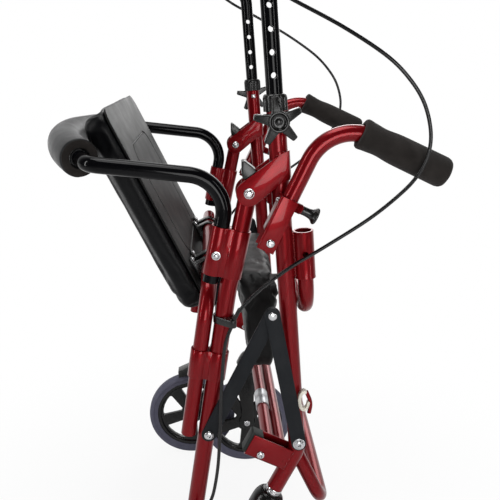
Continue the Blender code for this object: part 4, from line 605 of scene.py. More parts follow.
looks = {
    "paintRed": {"colour": (0.1750, 0.0026, 0.0052), "accent": (0.280, 0.007, 0.011), "share": 0.35,
                 "pattern": "flakes", "scale": 2600.0, "rough": (0.27, 0.36), "bump": 0.05,
                 "slot": "paint_red", "depth": 0.0004, "dust": 0.006,
                 "fixed": {"Metallic": 0.50, "Specular IOR Level": 0.08, "Coat Weight": 0.50,
                           "Coat Roughness": 0.06, "Coat IOR": 1.34}},
    "paintBlack": {"colour": (0.0016, 0.0016, 0.0021), "accent": (0.005, 0.005, 0.006), "share": 0.3,
                   "pattern": "flakes", "scale": 1800.0, "rough": (0.12, 0.20), "bump": 0.03,
                   "slot": "paint_black", "depth": 0.0003, "dust": 0.002,
                   "fixed": {"Specular IOR Level": 0.05, "Coat Weight": 0.27, "Coat Roughness": 0.03,
                             "Coat IOR": 1.40}},
    "coatBlack": {"colour": (0.0090, 0.0102, 0.0122), "accent": (0.015, 0.0165, 0.019), "share": 0.5,
                  "pattern": "moulded", "scale": 1500.0, "rough": (0.46, 0.60), "bump": 0.22,
                  "slot": "coat_black", "depth": 0.0002, "dust": 0.02, "fixed": {"Specular IOR Level": 0.12}},
    "foamBlack": {"colour": (0.0165, 0.0140, 0.0127), "accent": (0.028, 0.0242, 0.022), "share": 0.6,
                  "pattern": "foam", "scale": 900.0, "rough": (0.80, 0.95), "bump": 0.60,
                  "slot": "foam_black", "depth": 0.0005, "dust": 0.02,
                  "fixed": {"Sheen Weight": 0.08, "Sheen Roughness": 0.5, "Specular IOR Level": 0.08}},
    "foamRoll": {"colour": (0.0064, 0.0066, 0.0074), "accent": (0.012, 0.0124, 0.0136), "share": 0.6,
                 "pattern": "foam", "scale": 1100.0, "rough": (0.40, 0.52), "bump": 0.16,
                 "slot": "foam_black", "depth": 0.0004, "dust": 0.014,
                 "fixed": {"Sheen Weight": 0.20, "Sheen Roughness": 0.22, "Specular IOR Level": 0.28}},
    "plasticBlack": {"colour": (0.0024, 0.0023, 0.0021), "accent": (0.006, 0.0058, 0.0053), "share": 0.5,
                     "pattern": "moulded", "scale": 1300.0, "rough": (0.20, 0.30), "bump": 0.12,
                     "slot": "plastic_black", "depth": 0.0002, "dust": 0.008,
                     "fixed": {"Specular IOR Level": 0.46}},
    "vinylBlack": {"colour": (0.0020, 0.0021, 0.0026), "accent": (0.0038, 0.0038, 0.0045), "share": 0.5,
                   "pattern": "leather", "scale": 620.0, "rough": (0.30, 0.42), "bump": 0.22,
                   "slot": "vinyl_black", "depth": 0.0003, "dust": 0.004,
                   "fixed": {"Specular IOR Level": 0.14}},
    "boardBlack": {"colour": (0.0066, 0.0063, 0.0062), "accent": (0.011, 0.0105, 0.0100), "share": 0.6,
                   "pattern": "moulded", "scale": 900.0, "rough": (0.42, 0.52), "bump": 0.06,
                   "slot": "board_black", "depth": 0.0002, "dust": 0.006,
                   "fixed": {"Specular IOR Level": 0.095}},
    # Nylon: its lighter greenish-warm accent in random slack patches is a painted tint of the fabric's
    # reflections, laid over the cloth's own uneven tone
    "nylonBlack": {"colour": (0.0024, 0.0024, 0.0026), "accent": (0.0068, 0.0070, 0.0060), "share": 0.5,
                   "pattern": "woven", "scale": 260.0, "rough": (0.36, 0.52), "bump": 0.30,
                   "slot": "nylon_black", "depth": 0.0005, "dust": 0.010,
                   "fixed": {"Sheen Weight": 0.03, "Sheen Roughness": 0.4, "Specular IOR Level": 0.20}},
    "tyreGrey": {"colour": (0.100, 0.099, 0.140), "accent": (0.130, 0.129, 0.172), "share": 0.6,
                 "pattern": "rubber", "scale": 1200.0, "rough": (0.52, 0.70), "bump": 0.20,
                 "slot": "tyre_grey", "depth": 0.0003, "dust": 0.06, "fixed": {"Specular IOR Level": 0.2}},
    "zincSteel": {"colour": (0.640, 0.640, 0.650), "accent": (0.520, 0.520, 0.535), "share": 0.6,
                  "pattern": "steel", "scale": 1600.0, "rough": (0.18, 0.30), "bump": 0.10,
                  "slot": "zinc_steel", "depth": 0.0002, "dust": 0.03, "fixed": {"Metallic": 1.0}},
    "labelCream": {"colour": (0.740, 0.700, 0.610), "accent": (0.620, 0.570, 0.470), "share": 0.5,
                   "pattern": "moulded", "scale": 900.0, "rough": (0.40, 0.55), "bump": 0.15,
                   "slot": "label_cream", "depth": 0.0002, "dust": 0.08, "fixed": {}},
    "bandSilver": {"colour": (0.560, 0.565, 0.580), "accent": (0.430, 0.440, 0.455), "share": 0.6,
                   "pattern": "steel", "scale": 700.0, "rough": (0.28, 0.42), "bump": 0.25,
                   "slot": "band_silver", "depth": 0.0003, "dust": 0.05, "fixed": {"Metallic": 0.8}},
    "plugGrey": {"colour": (0.0180, 0.0210, 0.0200), "accent": (0.030, 0.034, 0.032), "share": 0.5,
                 "pattern": "moulded", "scale": 1100.0, "rough": (0.46, 0.62), "bump": 0.20,
                 "slot": "plug_grey", "depth": 0.0002, "dust": 0.03, "fixed": {"Specular IOR Level": 0.18}},
    "cableBlack": {"colour": (0.0040, 0.0040, 0.0043), "accent": (0.006, 0.006, 0.006), "share": 0.2,
                   "pattern": "rubber", "scale": 1500.0, "rough": (0.20, 0.24), "bump": 0.01,
                   "slot": "cable_black", "depth": 0.0001, "dust": 0.002,
                   "fixed": {"Specular IOR Level": 0.40}},
    # Weld beads: the frame's red paint, given a brighter, pinker colour and accent than paintRed as a painted
    # highlight on the ripples; the lower roughness and deeper bump are the beads' own
    "weldRedPaintedHighlight": {"colour": (0.200, 0.0055, 0.0090), "accent": (0.360, 0.030, 0.026), "share": 0.5,
                "pattern": "flakes", "scale": 1600.0, "rough": (0.18, 0.28), "bump": 0.35,
                "slot": "paint_red", "depth": 0.0008, "dust": 0.02,
                "fixed": {"Metallic": 0.45, "Specular IOR Level": 0.2, "Coat Weight": 0.7,
                          "Coat Roughness": 0.05, "Coat IOR": 1.40}},
}


def mixColour(tree, first, second, share):
    node = tree.nodes.new("ShaderNodeMix")
    node.data_type = "RGBA"
    colourSockets = [socket for socket in node.inputs if socket.type == "RGBA"]
    for socket, value in zip(colourSockets, (first, second)):
        if isinstance(value, tuple):
            socket.default_value = (*value, 1.0)
        else:
            tree.links.new(value, socket)
    tree.links.new(share, node.inputs["Factor"])
    return [socket for socket in node.outputs if socket.type == "RGBA"][0]


def groupNode(tree, group, vector, scale):
    node = tree.nodes.new("ShaderNodeGroup")
    node.node_tree = group
    tree.links.new(vector, node.inputs["Vector"])
    node.inputs["Scale"].default_value = scale
    return node


wear = {"scale": 26.0, "dustColour": (0.30, 0.29, 0.28), "roughBetween": (0.30, 0.70)}


def makeFinish(name, look):
    material = bpy.data.materials.new(name)
    material.use_nodes = True
    tree = material.node_tree
    shader = tree.nodes["Principled BSDF"]
    for socketName, value in look["fixed"].items():
        shader.inputs[socketName].default_value = value
    where = tree.nodes.new("ShaderNodeTexCoord").outputs["Object"]
    pattern = groupNode(tree, patterns[look["pattern"]], where, look["scale"])
    worn = groupNode(tree, marks, where, wear["scale"])
    accentShare = mathOf(tree, pattern.outputs["Mask"], look["share"], "MULTIPLY")
    dustShare = mathOf(tree, worn.outputs["Mask"], look["dust"], "MULTIPLY")
    tinted = mixColour(tree, look["colour"], look["accent"], accentShare)
    dusty = mixColour(tree, tinted, wear["dustColour"], dustShare)
    tree.links.new(dusty, shader.inputs["Base Color"])
    rough = rangeOf(tree, worn.outputs["Height"], *wear["roughBetween"], *look["rough"])
    tree.links.new(rough, shader.inputs["Roughness"])
    bump = tree.nodes.new("ShaderNodeBump")
    bump.inputs["Strength"].default_value = look["bump"]
    bump.inputs["Distance"].default_value = look["depth"]
    tree.links.new(pattern.outputs["Height"], bump.inputs["Height"])
    tree.links.new(bump.outputs["Normal"], shader.inputs["Normal"])
    return material


finishes = {name: makeFinish(name, look) for name, look in looks.items()}


def finishNodes():  # the CAD's own materials give way to the first finish of the same slot
    firstOf = {look["slot"]: name for name, look in reversed(looks.items())}
    for entry in frame["record"]["subparts"]:
        for holder in frame["nodes"][entry["node"]].material_slots:
            holder.material = finishes[firstOf[entry["material_slot"]]]


finishNodes()
print("finishes ready")

# Brake cables, from the adjuster on the housing down to the brake shoe

cable = {
    "diameter": 0.0050,
    "bendZ": 1.0270,
    "under": 0.0240,
    "leaves": ((0.0675, 0.0), (0.0595, 0.0), (0.0505, 0.0), (0.0375, 0.0040)),
    "route": ((0.0500, 0.2655, 1.0090), (0.0740, 0.2680, 0.9970), (0.1090, 0.2710, 0.9790),
              (0.1630, 0.2880, 0.9500), (0.2140, 0.3030, 0.9170), (0.2430, 0.3080, 0.8900),
              (0.2640, 0.3090, 0.8600), (0.2750, 0.3090, 0.8250), (0.2740, 0.3090, 0.7950),
              (0.2630, 0.3060, 0.7680), (0.2440, 0.3000, 0.7430), (0.2060, 0.2920, 0.7080),
              (0.1480, 0.2860, 0.6680), (0.1040, 0.2830, 0.6400), (0.0600, 0.2800, 0.6050),
              (0.0340, 0.2770, 0.5750), (0.0260, 0.2740, 0.5560), (0.0150, 0.2735, 0.5250),
              (0.0100, 0.2745, 0.4750), (0.0072, 0.2770, 0.4250), (0.0052, 0.2780, 0.3780),
              (0.0020, 0.2770, 0.3300), (-0.0045, 0.2765, 0.2880), (-0.0112, 0.2780, 0.2680),
              (-0.0150, 0.2800, 0.2545)),
    "steps": 8,
}


def smoothRoute(points, steps, closed=False):  # a smooth curve through all the points
    dense, count = [], len(points)
    for index in range(count if closed else count - 1):
        around = [index + step for step in (-1, 0, 1, 2)]
        a, b, c, d = (points[at % count if closed else min(max(at, 0), count - 1)] for at in around)
        for step in range(steps):
            t = step / steps
            dense.append((b * 2 + (c - a) * t + (a * 2 - b * 5 + c * 4 - d) * t * t
                          + (b * 3 - a - c * 3 + d) * t * t * t) * 0.5)
    return dense if closed else dense + [points[-1]]


def cableRoute(side):
    corner = spot(legX(cable["bendZ"]), side * sideY, cable["bendZ"])
    points = [corner + gripAlong * along + gripUnder * cable["under"] + Vector((0, side * aside, 0))
              for along, aside in cable["leaves"]]
    points += [spot(x, side * y, z) for x, y, z in cable["route"]]
    return smoothRoute(points, cable["steps"])


def routeLength(route):
    return sum((second - first).length for first, second in zip(route, route[1:]))


def buildCables():
    for side, name in ((-1, "right"), (1, "left")):
        route = cableRoute(side)
        piece = bentTube(route, cable["diameter"] / 2, 20)
        place(piece, "brakeCable" + name.title(), "handle_" + name, "cableBlack",
              ("brake_cable_" + name,), smooth=38)
        print("cable", name, round(routeLength(route), 3))


buildCables()

# Bolt heads, used all over the frame

def boltHead(centre, direction, radius, height, recess=True):
    heading = Vector(direction).normalized()
    dome = [(0.0, -0.0008), (radius, -0.0008), (radius, height * 0.30), (radius * 0.95, height * 0.55),
            (radius * 0.80, height * 0.80), (radius * 0.55, height * 0.95), (0.0, height)]
    piece = turned(dome, centre, heading, 36)
    if recess:
        across = heading.orthogonal().normalized()
        cutter = plate(ringOutline((0, 0), radius * 0.42, 6), centre, across, heading.cross(across),
                       heading, height * 0.40, height * 1.6)
        carve(piece, cutter)
    smoothShade(piece, 32)
    return piece


def washer(centre, direction, inner, outer, thickness):
    ring = [(inner, 0.0), (outer, 0.0), (outer, thickness * 0.7), (outer - 0.0004, thickness),
            (inner, thickness)]
    piece = turned(ring, centre, direction, 40)
    smoothShade(piece, 30)
    return piece


def bead(centre, radius):
    bpy.ops.object.select_all(action="DESELECT")
    bpy.ops.mesh.primitive_ico_sphere_add(subdivisions=2, radius=radius, location=(0, 0, 0))
    piece = bpy.context.object
    editAll(piece)
    bpy.ops.transform.resize(value=(1.0, 0.8, 0.55))
    leaveEdit()
    piece.data.transform(Matrix.Translation(Vector(centre)))
    return piece


def beadRow(first, last, radius, pitch):  # a run of weld, one ripple copied along it
    span = Vector(last) - Vector(first)
    count = max(2, round(span.length / pitch))
    seed = bead((0, 0, 0), radius)
    ripples = [seed]
    for index in range(1, count):
        ripple = copyOf(seed)
        wobble = noise.noise(Vector((index * 0.7, radius * 900, 0.3))) * radius * 0.35
        ripple.data.transform(Matrix.Translation(Vector(first) + span * index / (count - 1)
                                                 + Vector((wobble, 0, 0))))
        ripples.append(ripple)
    seed.data.transform(Matrix.Translation(Vector(first)))
    row = joinUp(ripples)
    smoothShade(row, 60)
    return row


# Front legs with their hinge plates, sockets and lower channels

frontLeg = {
    "topZ": 0.8540, "wall": 0.0013, "bendRadius": 0.0420,
    "plateLowZ": 0.7560, "plateHighZ": 0.7945, "plateInner": 0.0130, "plateOuter": 0.0155, "lobe": 0.0175,
    "knobZ": 0.8350, "bossBase": 0.0121, "bossInner": 0.0046, "bossOuter": 0.0085, "bossReach": 0.0090,
    "socketAhead": 0.0274, "socketZ": 0.6145, "socketLength": 0.0690, "socketBore": 0.0114,
    "socketOuter": 0.0144, "snapZ": 0.6520, "snapRadius": 0.0042,
    "channelHalf": 0.0125, "channelWall": 0.0023, "channelDeep": 0.0370, "channelFrom": 0.0057,
    "channelTo": 0.0725, "channelLip": 0.0010, "channelBend": 0.0048, "channelBolt": (0.0500, 0.0265),
}


def legPoint(z, y=nearY):
    return spot(legX(z), y, z)


def socketPoint(z, y=nearY):
    return legPoint(z, y) + Vector((frontLeg["socketAhead"] / aheadOfLeg.x, 0, 0))


def bendPoint(y=nearY):
    return spot(chassis["bend"][0], y, chassis["bend"][1])


def channelPoint(e, s, y=nearY):  # e behind the leg's bend, s down the stem
    return bendPoint(y) - stemAhead * e + stemDown * s


def hingePlates():
    front = aheadOfLeg * legRadius
    top, bottom = legPoint(frontLeg["plateHighZ"]) + front, legPoint(frontLeg["plateLowZ"]) + front
    inner, outer = frontLeg["plateInner"], frontLeg["plateOuter"]
    outline = [(top.x, top.z), (top.x - 0.0100, top.z - 0.0040)]
    outline += ringOutline((pivotPoint.x, pivotPoint.z), frontLeg["lobe"], 25, 125.0, 180.0)
    outline += [(bottom.x - 0.0120, bottom.z - 0.0050), (bottom.x, bottom.z)]
    cheeks = cheekPair(outline, (0, nearY, 0), (1, 0, 0), (0, 0, 1), inner, outer, 0.0005)
    around = ringOutline((0, 0), outer, 25, -96.0, 192.0) + ringOutline((0, 0), inner, 25, 96.0, -192.0)
    fold = plate(around, legPoint(frontLeg["plateLowZ"] + 0.0008), aheadOfLeg, outward, upLeg, 0.0,
                 frontLeg["plateHighZ"] - frontLeg["plateLowZ"] - 0.0016)
    roundEdges(fold, 0.0004, 2, 50)
    return cheeks + [fold]


def socketSleeve():
    bore, outer, length = frontLeg["socketBore"], frontLeg["socketOuter"], frontLeg["socketLength"]
    profile = [(bore, 0.0), (outer - 0.0005, 0.0), (outer + 0.0002, 0.0006), (outer + 0.0002, 0.0022),
               (outer, 0.0032), (outer, length - 0.0005), (outer - 0.0005, length), (bore, length)]
    sleeve = turned(profile, socketPoint(frontLeg["socketZ"]), upLeg, 56)
    carve(sleeve, rod(frontLeg["snapRadius"], 0.004, 0.022, socketPoint(frontLeg["snapZ"]), outward, 28))
    return sleeve


def lowerChannel():
    half, wall, deep = frontLeg["channelHalf"], frontLeg["channelWall"], frontLeg["channelDeep"]
    lip, bend = frontLeg["channelLip"], frontLeg["channelBend"]
    outline = [(-half, lip)]
    outline += ringOutline((-half + bend, deep - bend), bend, 7, 180.0, -90.0)
    outline += ringOutline((half - bend, deep - bend), bend, 7, 90.0, -90.0)
    outline += [(half, lip), (half - wall, lip)]
    outline += ringOutline((half - bend, deep - bend), bend - wall, 7, 0.0, 90.0)
    outline += ringOutline((-half + bend, deep - bend), bend - wall, 7, 90.0, 90.0)
    outline += [(wall - half, lip)]
    shape = plate(outline, channelPoint(0.0, 0.0), outward, stemDown, -stemAhead,
                  frontLeg["channelFrom"], frontLeg["channelTo"])
    roundEdges(shape, 0.0005, 2, 50)
    return shape


def buildFrontLegs():
    stemEnd = bendPoint() + stemDown * chassis["stemLength"]
    route = bendRoute([legPoint(frontLeg["topZ"]), bendPoint(), stemEnd], [frontLeg["bendRadius"]], 3.0)
    tube = bentTube(route, legRadius, 56, frontLeg["wall"])
    base, inner, outer = frontLeg["bossBase"], frontLeg["bossInner"], frontLeg["bossOuter"]
    top = legRadius + frontLeg["bossReach"]
    boss = turned([(inner, base), (outer, base), (outer, top - 0.0006), (outer - 0.0006, top), (inner, top)],
                  legPoint(frontLeg["knobZ"]), outward, 36)
    leg = joinUp([tube, boss, socketSleeve(), lowerChannel()] + hingePlates())
    placePair(leg, "frontLeg", "front_frame", "paintRed", ("front_leg_",), smooth=34)


frontWelds = {
    "groove": 0.0058, "socketInset": 0.0035, "legReach": 0.0128, "big": 0.0022, "small": 0.0016,
    "pitch": 0.0021, "widePitch": 0.0022, "plateZ": 0.7610, "plateOut": 0.0131, "plateBack": 0.0035,
    "plateRun": 0.0280, "channelAt": 0.0066, "channelStarts": (0.0040, 0.0340), "channelOut": 0.0122,
    "underAt": (0.0068, 0.0365), "underHalf": 0.0090, "underRadius": 0.0020,
}


def buildLegWelds():
    aside, ahead = outward * frontWelds["groove"], aheadOfLeg * frontWelds["legReach"]
    inset, pitch, small = frontWelds["socketInset"], frontWelds["pitch"], frontWelds["small"]
    low = legPoint(frontLeg["socketZ"] + inset) + ahead
    high = legPoint(frontLeg["socketZ"] + frontLeg["socketLength"] - inset) + ahead
    rows = [beadRow(low + aside, high + aside, frontWelds["big"], pitch),
            beadRow(low - aside, high - aside, frontWelds["big"], pitch)]
    for side in (frontWelds["plateOut"], -frontWelds["plateOut"]):
        base = legPoint(frontWelds["plateZ"]) + outward * side - aheadOfLeg * frontWelds["plateBack"]
        rows.append(beadRow(base, base + upLeg * frontWelds["plateRun"], small, frontWelds["widePitch"]))
    for s in frontWelds["channelStarts"]:
        base = channelPoint(frontWelds["channelAt"], s) + outward * frontWelds["channelOut"]
        rows.append(beadRow(base, base + (stemDown * (0.019 - s)) * 0.8 - stemAhead * 0.001, small, pitch))
    under, half = channelPoint(*frontWelds["underAt"]), outward * frontWelds["underHalf"]
    rows.append(beadRow(under - half, under + half, frontWelds["underRadius"], frontWelds["widePitch"]))
    # the weld beads take the red paint with its painted highlight
    placePair(joinUp(rows), "frontWelds", "front_frame", "weldRedPaintedHighlight")


def buildFrontFittings():
    seat = outward * frontLeg["channelHalf"]
    bolt = channelPoint(*frontLeg["channelBolt"])
    placePair(boltHead(bolt + seat, outward, 0.0062, 0.0045), "channelBolt", "front_frame", "zincSteel")
    nut = plate(ringOutline((0, 0), 0.0060, 6), bolt - seat, (1, 0, 0), (0, 0, 1), -outward, -0.0003, 0.0038)
    roundEdges(nut, 0.0005, 2)
    placePair(nut, "channelNut", "front_frame", "zincSteel", smooth=30)
    rivet = boltHead(legPoint(frontLeg["knobZ"]) - outward * legRadius, -outward, 0.0042, 0.0020, False)
    placePair(rivet, "stopRivet", "front_frame", "zincSteel")
    outline = [(0.0580, -0.0010), (0.0750, -0.0010), (0.0768, 0.0003), (0.0775, 0.0020), (0.0775, 0.0310),
               (0.0768, 0.0330), (0.0750, 0.0340), (0.0580, 0.0340)]
    insert = plate(outline, channelPoint(0, 0), -stemAhead, stemDown, outward, -0.0099, 0.0099)
    roundEdges(insert, 0.0009, 3)
    placePair(insert, "channelInsert", "front_frame", "plugGrey", ("channel_plug_",), smooth=38)
    head = boltHead(pivotPoint + outward * 0.0158, outward, 0.0060, 0.0048)
    tail = boltHead(pivotPoint - outward * 0.0158, -outward, 0.0070, 0.0050, False)
    shank = rod(0.0038, -0.0165, 0.0165, pivotPoint, outward)
    rim = washer(pivotPoint + outward * 0.0156, outward, 0.004, 0.0072, 0.0007)
    placePair(joinUp([head, tail, shank, rim]), "pivotBolt", "front_frame", "zincSteel", ("pivot_bolt_",))


def buildCollars():
    base = legPoint(frontLeg["topZ"])
    skirt = plate(ribbedOutline(72, 0.0162, 0.0156, 3), base, aheadOfLeg, outward, upLeg, -0.0080, 0.0092)
    carve(skirt, turned([(0.0, -0.02), (0.0130, -0.02), (0.0130, 0.0003), (0.0114, 0.0003), (0.0114, 0.02),
                         (0.0, 0.02)], base, upLeg, 48))
    cap = turned([(0.0114, 0.0085), (0.0159, 0.0085), (0.0159, 0.0104), (0.0150, 0.0126), (0.0136, 0.0138),
                  (0.0120, 0.0142), (0.0114, 0.0138)], base, upLeg, 56)
    placePair(joinUp([skirt, cap]), "legCollar", "front_frame", "plasticBlack", ("leg_collar_",), smooth=22)


# Star knobs

starKnob = {"baseY": 0.2720, "firstDeg": 99.0, "thick": 0.0165, "tipCentre": 0.0299, "tipHalf": 0.0021,
            "tipRadius": 0.0021, "edgeDeg": 80.9, "valleyAt": 0.01737, "valleyRadius": 0.00357,
            "valleyDeg": -89.8, "flatReach": 0.0130, "slope": 0.24}


def buildStarKnobs():
    outline = []
    for arm in range(5):
        heading = starKnob["firstDeg"] + 72.0 * arm
        for sign in (-1, 1):
            corner = polar(heading, starKnob["tipCentre"]) + polar(heading + 90, sign * starKnob["tipHalf"])
            first = heading - starKnob["edgeDeg"] if sign < 0 else heading
            outline += ringOutline(corner, starKnob["tipRadius"], 5, first, starKnob["edgeDeg"])
        valley = polar(heading + 36, starKnob["valleyAt"])
        outline += ringOutline(valley, starKnob["valleyRadius"], 9, heading + 180 + starKnob["edgeDeg"],
                               starKnob["valleyDeg"])
    centre = legPoint(frontLeg["knobZ"], -starKnob["baseY"])
    star = plate(outline, centre, (1, 0, 0), (0, 0, 1), outward, 0.0, starKnob["thick"])
    roundEdges(star, 0.0034, 5, 60)
    for vertex in star.data.vertices:  # the arms slope down from the hub to their tips
        offset = vertex.co - centre
        reach = math.hypot(offset.x, offset.z)
        if offset.dot(outward) > 0.006:
            vertex.co -= outward * max(0.0, reach - starKnob["flatReach"]) * starKnob["slope"]
    dish = turned([(0.0, 0.0120), (0.0134, 0.0120), (0.0139, 0.0160), (0.0140, 0.0178), (0.0136, 0.0190),
                   (0.0126, 0.0197), (0.0114, 0.0196), (0.0106, 0.0188), (0.0100, 0.0174), (0.0086, 0.0163),
                   (0.0060, 0.0157), (0.0046, 0.0158), (0.0034, 0.0166), (0.0016, 0.0171), (0.0, 0.0172)],
                  centre, outward, 56)
    stud = rod(0.0042, -0.0085, 0.0020, centre, outward)
    knob = joinUp([star, dish, stud])
    placePair(knob, "starKnob", "star_knob_", "plasticBlack", ("star_knob_",), smooth=40)


# Handle tubes with their row of holes, grips, brake housings and loop levers

handle = {
    "bottomZ": 0.6600, "bendZ": 1.0270, "bendRadius": 0.0300, "reach": 0.2640, "wall": 0.0016,
    "holeTopZ": 0.9770, "holeSpacing": 0.0286, "holes": 6, "holeRadius": 0.0040,
    "gripFrom": 0.1420, "gripLength": 0.1250, "gripRadius": 0.0165, "gripRing": 0.00045, "gripRings": 18,
    "gripSwell": 0.0007, "gripPinch": 0.0009,
    "housingFrom": 0.0720, "housingTo": 0.1280, "housingOuter": 0.0159, "bore": 0.0114,
    "leverPivot": (0.1130, 0.0330), "leverBar": 0.0042,
    "leverShape": ((0.126, 0.047), (0.142, 0.070), (0.170, 0.090), (0.205, 0.098), (0.240, 0.093),
                   (0.262, 0.079), (0.268, 0.064), (0.260, 0.052), (0.238, 0.048), (0.198, 0.050),
                   (0.160, 0.045), (0.134, 0.039)),
}
handleCorner = legPoint(handle["bendZ"])


def gripPoint(along, under=0.0):
    return handleCorner + gripAlong * along + gripUnder * under


def buildHandleTubes():
    route = bendRoute([legPoint(handle["bottomZ"]), handleCorner, gripPoint(handle["reach"])],
                      [handle["bendRadius"]], 3.0)
    tube = bentTube(route, tubeRadius, 56, handle["wall"])
    drills = []
    for index in range(handle["holes"]):
        z = handle["holeTopZ"] - handle["holeSpacing"] * index
        drills.append(rod(handle["holeRadius"], -0.016, 0.016, legPoint(z), outward, 30))
    carve(tube, joinUp(drills))
    placePair(tube, "handleTube", "handle_", "paintBlack", ("handle_tube_",), smooth=34)


def buildHandGrips():
    radius, length = handle["gripRadius"], handle["gripLength"]
    profile = [(0.0113, 0.0), (radius + 0.0026, 0.0), (radius + 0.0034, 0.0010), (radius + 0.0034, 0.0034),
               (radius + 0.0020, 0.0052), (radius, 0.0072)]
    for step in range(1, 30):  # the palm swell and the finger rings
        share = step / 30
        bow = math.sin(share * math.pi)
        swell = handle["gripSwell"] * bow - handle["gripPinch"] * bow ** 2
        ring = handle["gripRing"] * math.cos(share * math.pi * handle["gripRings"])
        profile.append((radius + swell + ring, 0.0072 + (length - 0.0180) * share))
    profile += [(radius - 0.0006, length - 0.0080), (radius - 0.0022, length - 0.0035),
                (radius - 0.0050, length - 0.0006), (radius - 0.0085, length), (0.0, length)]
    profile += [(0.0, length - 0.0027), (0.0113, length - 0.0027)]
    grip = turned(profile, gripPoint(handle["gripFrom"]), gripAlong, 48)
    for piece in placePair(grip, "handGrip", "handle_", "foamBlack", ("hand_grip_",), smooth=50):
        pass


def buildBrakeHousings():
    start, end = handle["housingFrom"], handle["housingTo"]
    bore, outer = handle["bore"], handle["housingOuter"]
    length = end - start
    clamp = turned([(bore, 0.0), (outer - 0.0008, 0.0), (outer, 0.0010), (outer, length - 0.0010),
                    (outer - 0.0008, length), (bore, length)], gripPoint(start), gripAlong, 48)
    under = bore + 0.0020
    cheek = [(start + 0.001, under), (end - 0.001, under), (end - 0.001, 0.0350), (end - 0.0060, 0.0405),
             (0.1170, 0.0430), (0.1070, 0.0430), (0.0920, 0.0385), (0.0790, 0.0330), (start + 0.001, 0.0280)]
    parts = [clamp] + cheekPair(cheek, handleCorner, gripAlong, gripUnder, 0.0068, 0.0110, 0.0009, 3)
    noseShape = [(start - 0.004, 0.0174), (start + 0.012, 0.0149), (start + 0.012, 0.0320),
                 (start - 0.004, 0.0300)]
    nose = plate(noseShape, handleCorner, gripAlong, gripUnder, outward, -0.0072, 0.0072)
    roundEdges(nose, 0.0012, 3)
    barrelBase = gripPoint(start - 0.0035, 0.0240)
    knurl = plate(ribbedOutline(48, 0.0052, 0.0047, 2), barrelBase, gripUnder, outward, -gripAlong,
                  -0.0010, 0.0078)
    neck = turned([(0.0028, 0.0070), (0.0044, 0.0070), (0.0044, 0.0096), (0.0040, 0.0104), (0.0040, 0.0142),
                   (0.0034, 0.0150), (0.0028, 0.0150)], barrelBase, -gripAlong, 32)
    carve(knurl, rod(0.0028, -0.004, 0.02, barrelBase, -gripAlong))
    housing = joinUp(parts + [nose, knurl, neck])
    placePair(housing, "brakeHousing", "handle_", "plasticBlack", ("brake_housing_",), smooth=28)
    pin = gripPoint(*handle["leverPivot"])
    screws = joinUp([boltHead(pin + outward * 0.0110, outward, 0.0040, 0.0018),
                     boltHead(pin - outward * 0.0110, -outward, 0.0040, 0.0018, False),
                     boltHead(gripPoint(start + 0.014, -outer + 0.0002), -gripUnder, 0.0032, 0.0020)])
    placePair(screws, "housingScrews", "handle_", "zincSteel")


def buildBrakeLevers():
    loop = smoothRoute([gripPoint(along, under) for along, under in handle["leverShape"]], 8, closed=True)
    bar = bentTube(loop, handle["leverBar"], 22, cyclic=True)
    editAll(bar)
    bpy.ops.transform.resize(value=(1.0, 1.35, 1.0), center_override=(0.0, nearY, 0.0))
    leaveEdit()
    pivotAlong, pivotUnder = handle["leverPivot"]
    root = [(-0.0070, -0.0040), (0.0000, -0.0068), (0.0060, -0.0060), (0.0230, 0.0030), (0.0220, 0.0090),
            (0.0160, 0.0140), (0.0080, 0.0118), (0.0020, 0.0080), (-0.0070, 0.0050)]
    hub = plate([(pivotAlong + a, pivotUnder + b) for a, b in root], handleCorner, gripAlong, gripUnder,
                outward, -0.0062, 0.0062)
    roundEdges(hub, 0.0012, 3)
    lever = joinUp([bar, hub])
    placePair(lever, "brakeLever", "brake_lever_", "plasticBlack", ("brake_lever_",), smooth=40)


buildFrontLegs()
buildLegWelds()
buildFrontFittings()
buildCollars()
buildStarKnobs()
print("front legs and knobs")
buildHandleTubes()
buildHandGrips()
buildBrakeHousings()
buildBrakeLevers()
print("handles and brakes")

# Armrests: folded channel, post, foam sleeve and the spring pin that locks it

armRest = {
    "y": 0.2775, "leanDeg": 25.4, "pivot": (0.0759, 0.6765), "slot": 0.0115, "wall": 0.0030,
    "rear": 0.0117, "front": -0.0100, "from": -0.0125, "to": 0.0640, "lockAt": 0.0560,
    "kneeAt": 0.1602, "kneeRadius": 0.0620, "crestAt": 0.0015, "crestRadius": 0.0240,
    "gripStart": (0.1932, 0.8194), "droopDeg": 25.2, "padLength": 0.1300, "padRadius": 0.0200,
    "bend": 0.0038, "notchTo": 0.0125, "holeRadius": 0.0042, "waistAt": 0.16, "waistWidth": 0.13,
    "waist": 0.0017, "padSwell": 0.0009,
}
armLean, armDroop = math.radians(armRest["leanDeg"]), math.radians(armRest["droopDeg"])
armAlong = Vector((math.sin(armLean), 0.0, math.cos(armLean)))
armBack = Vector((-math.cos(armLean), 0.0, math.sin(armLean)))
armPivot = spot(armRest["pivot"][0], -armRest["y"], armRest["pivot"][1])
gripDirection = Vector((math.cos(armDroop), 0.0, -math.sin(armDroop)))
armGripStart = spot(armRest["gripStart"][0], -armRest["y"], armRest["gripStart"][1])
armLock = armPivot + armAlong * armRest["lockAt"]


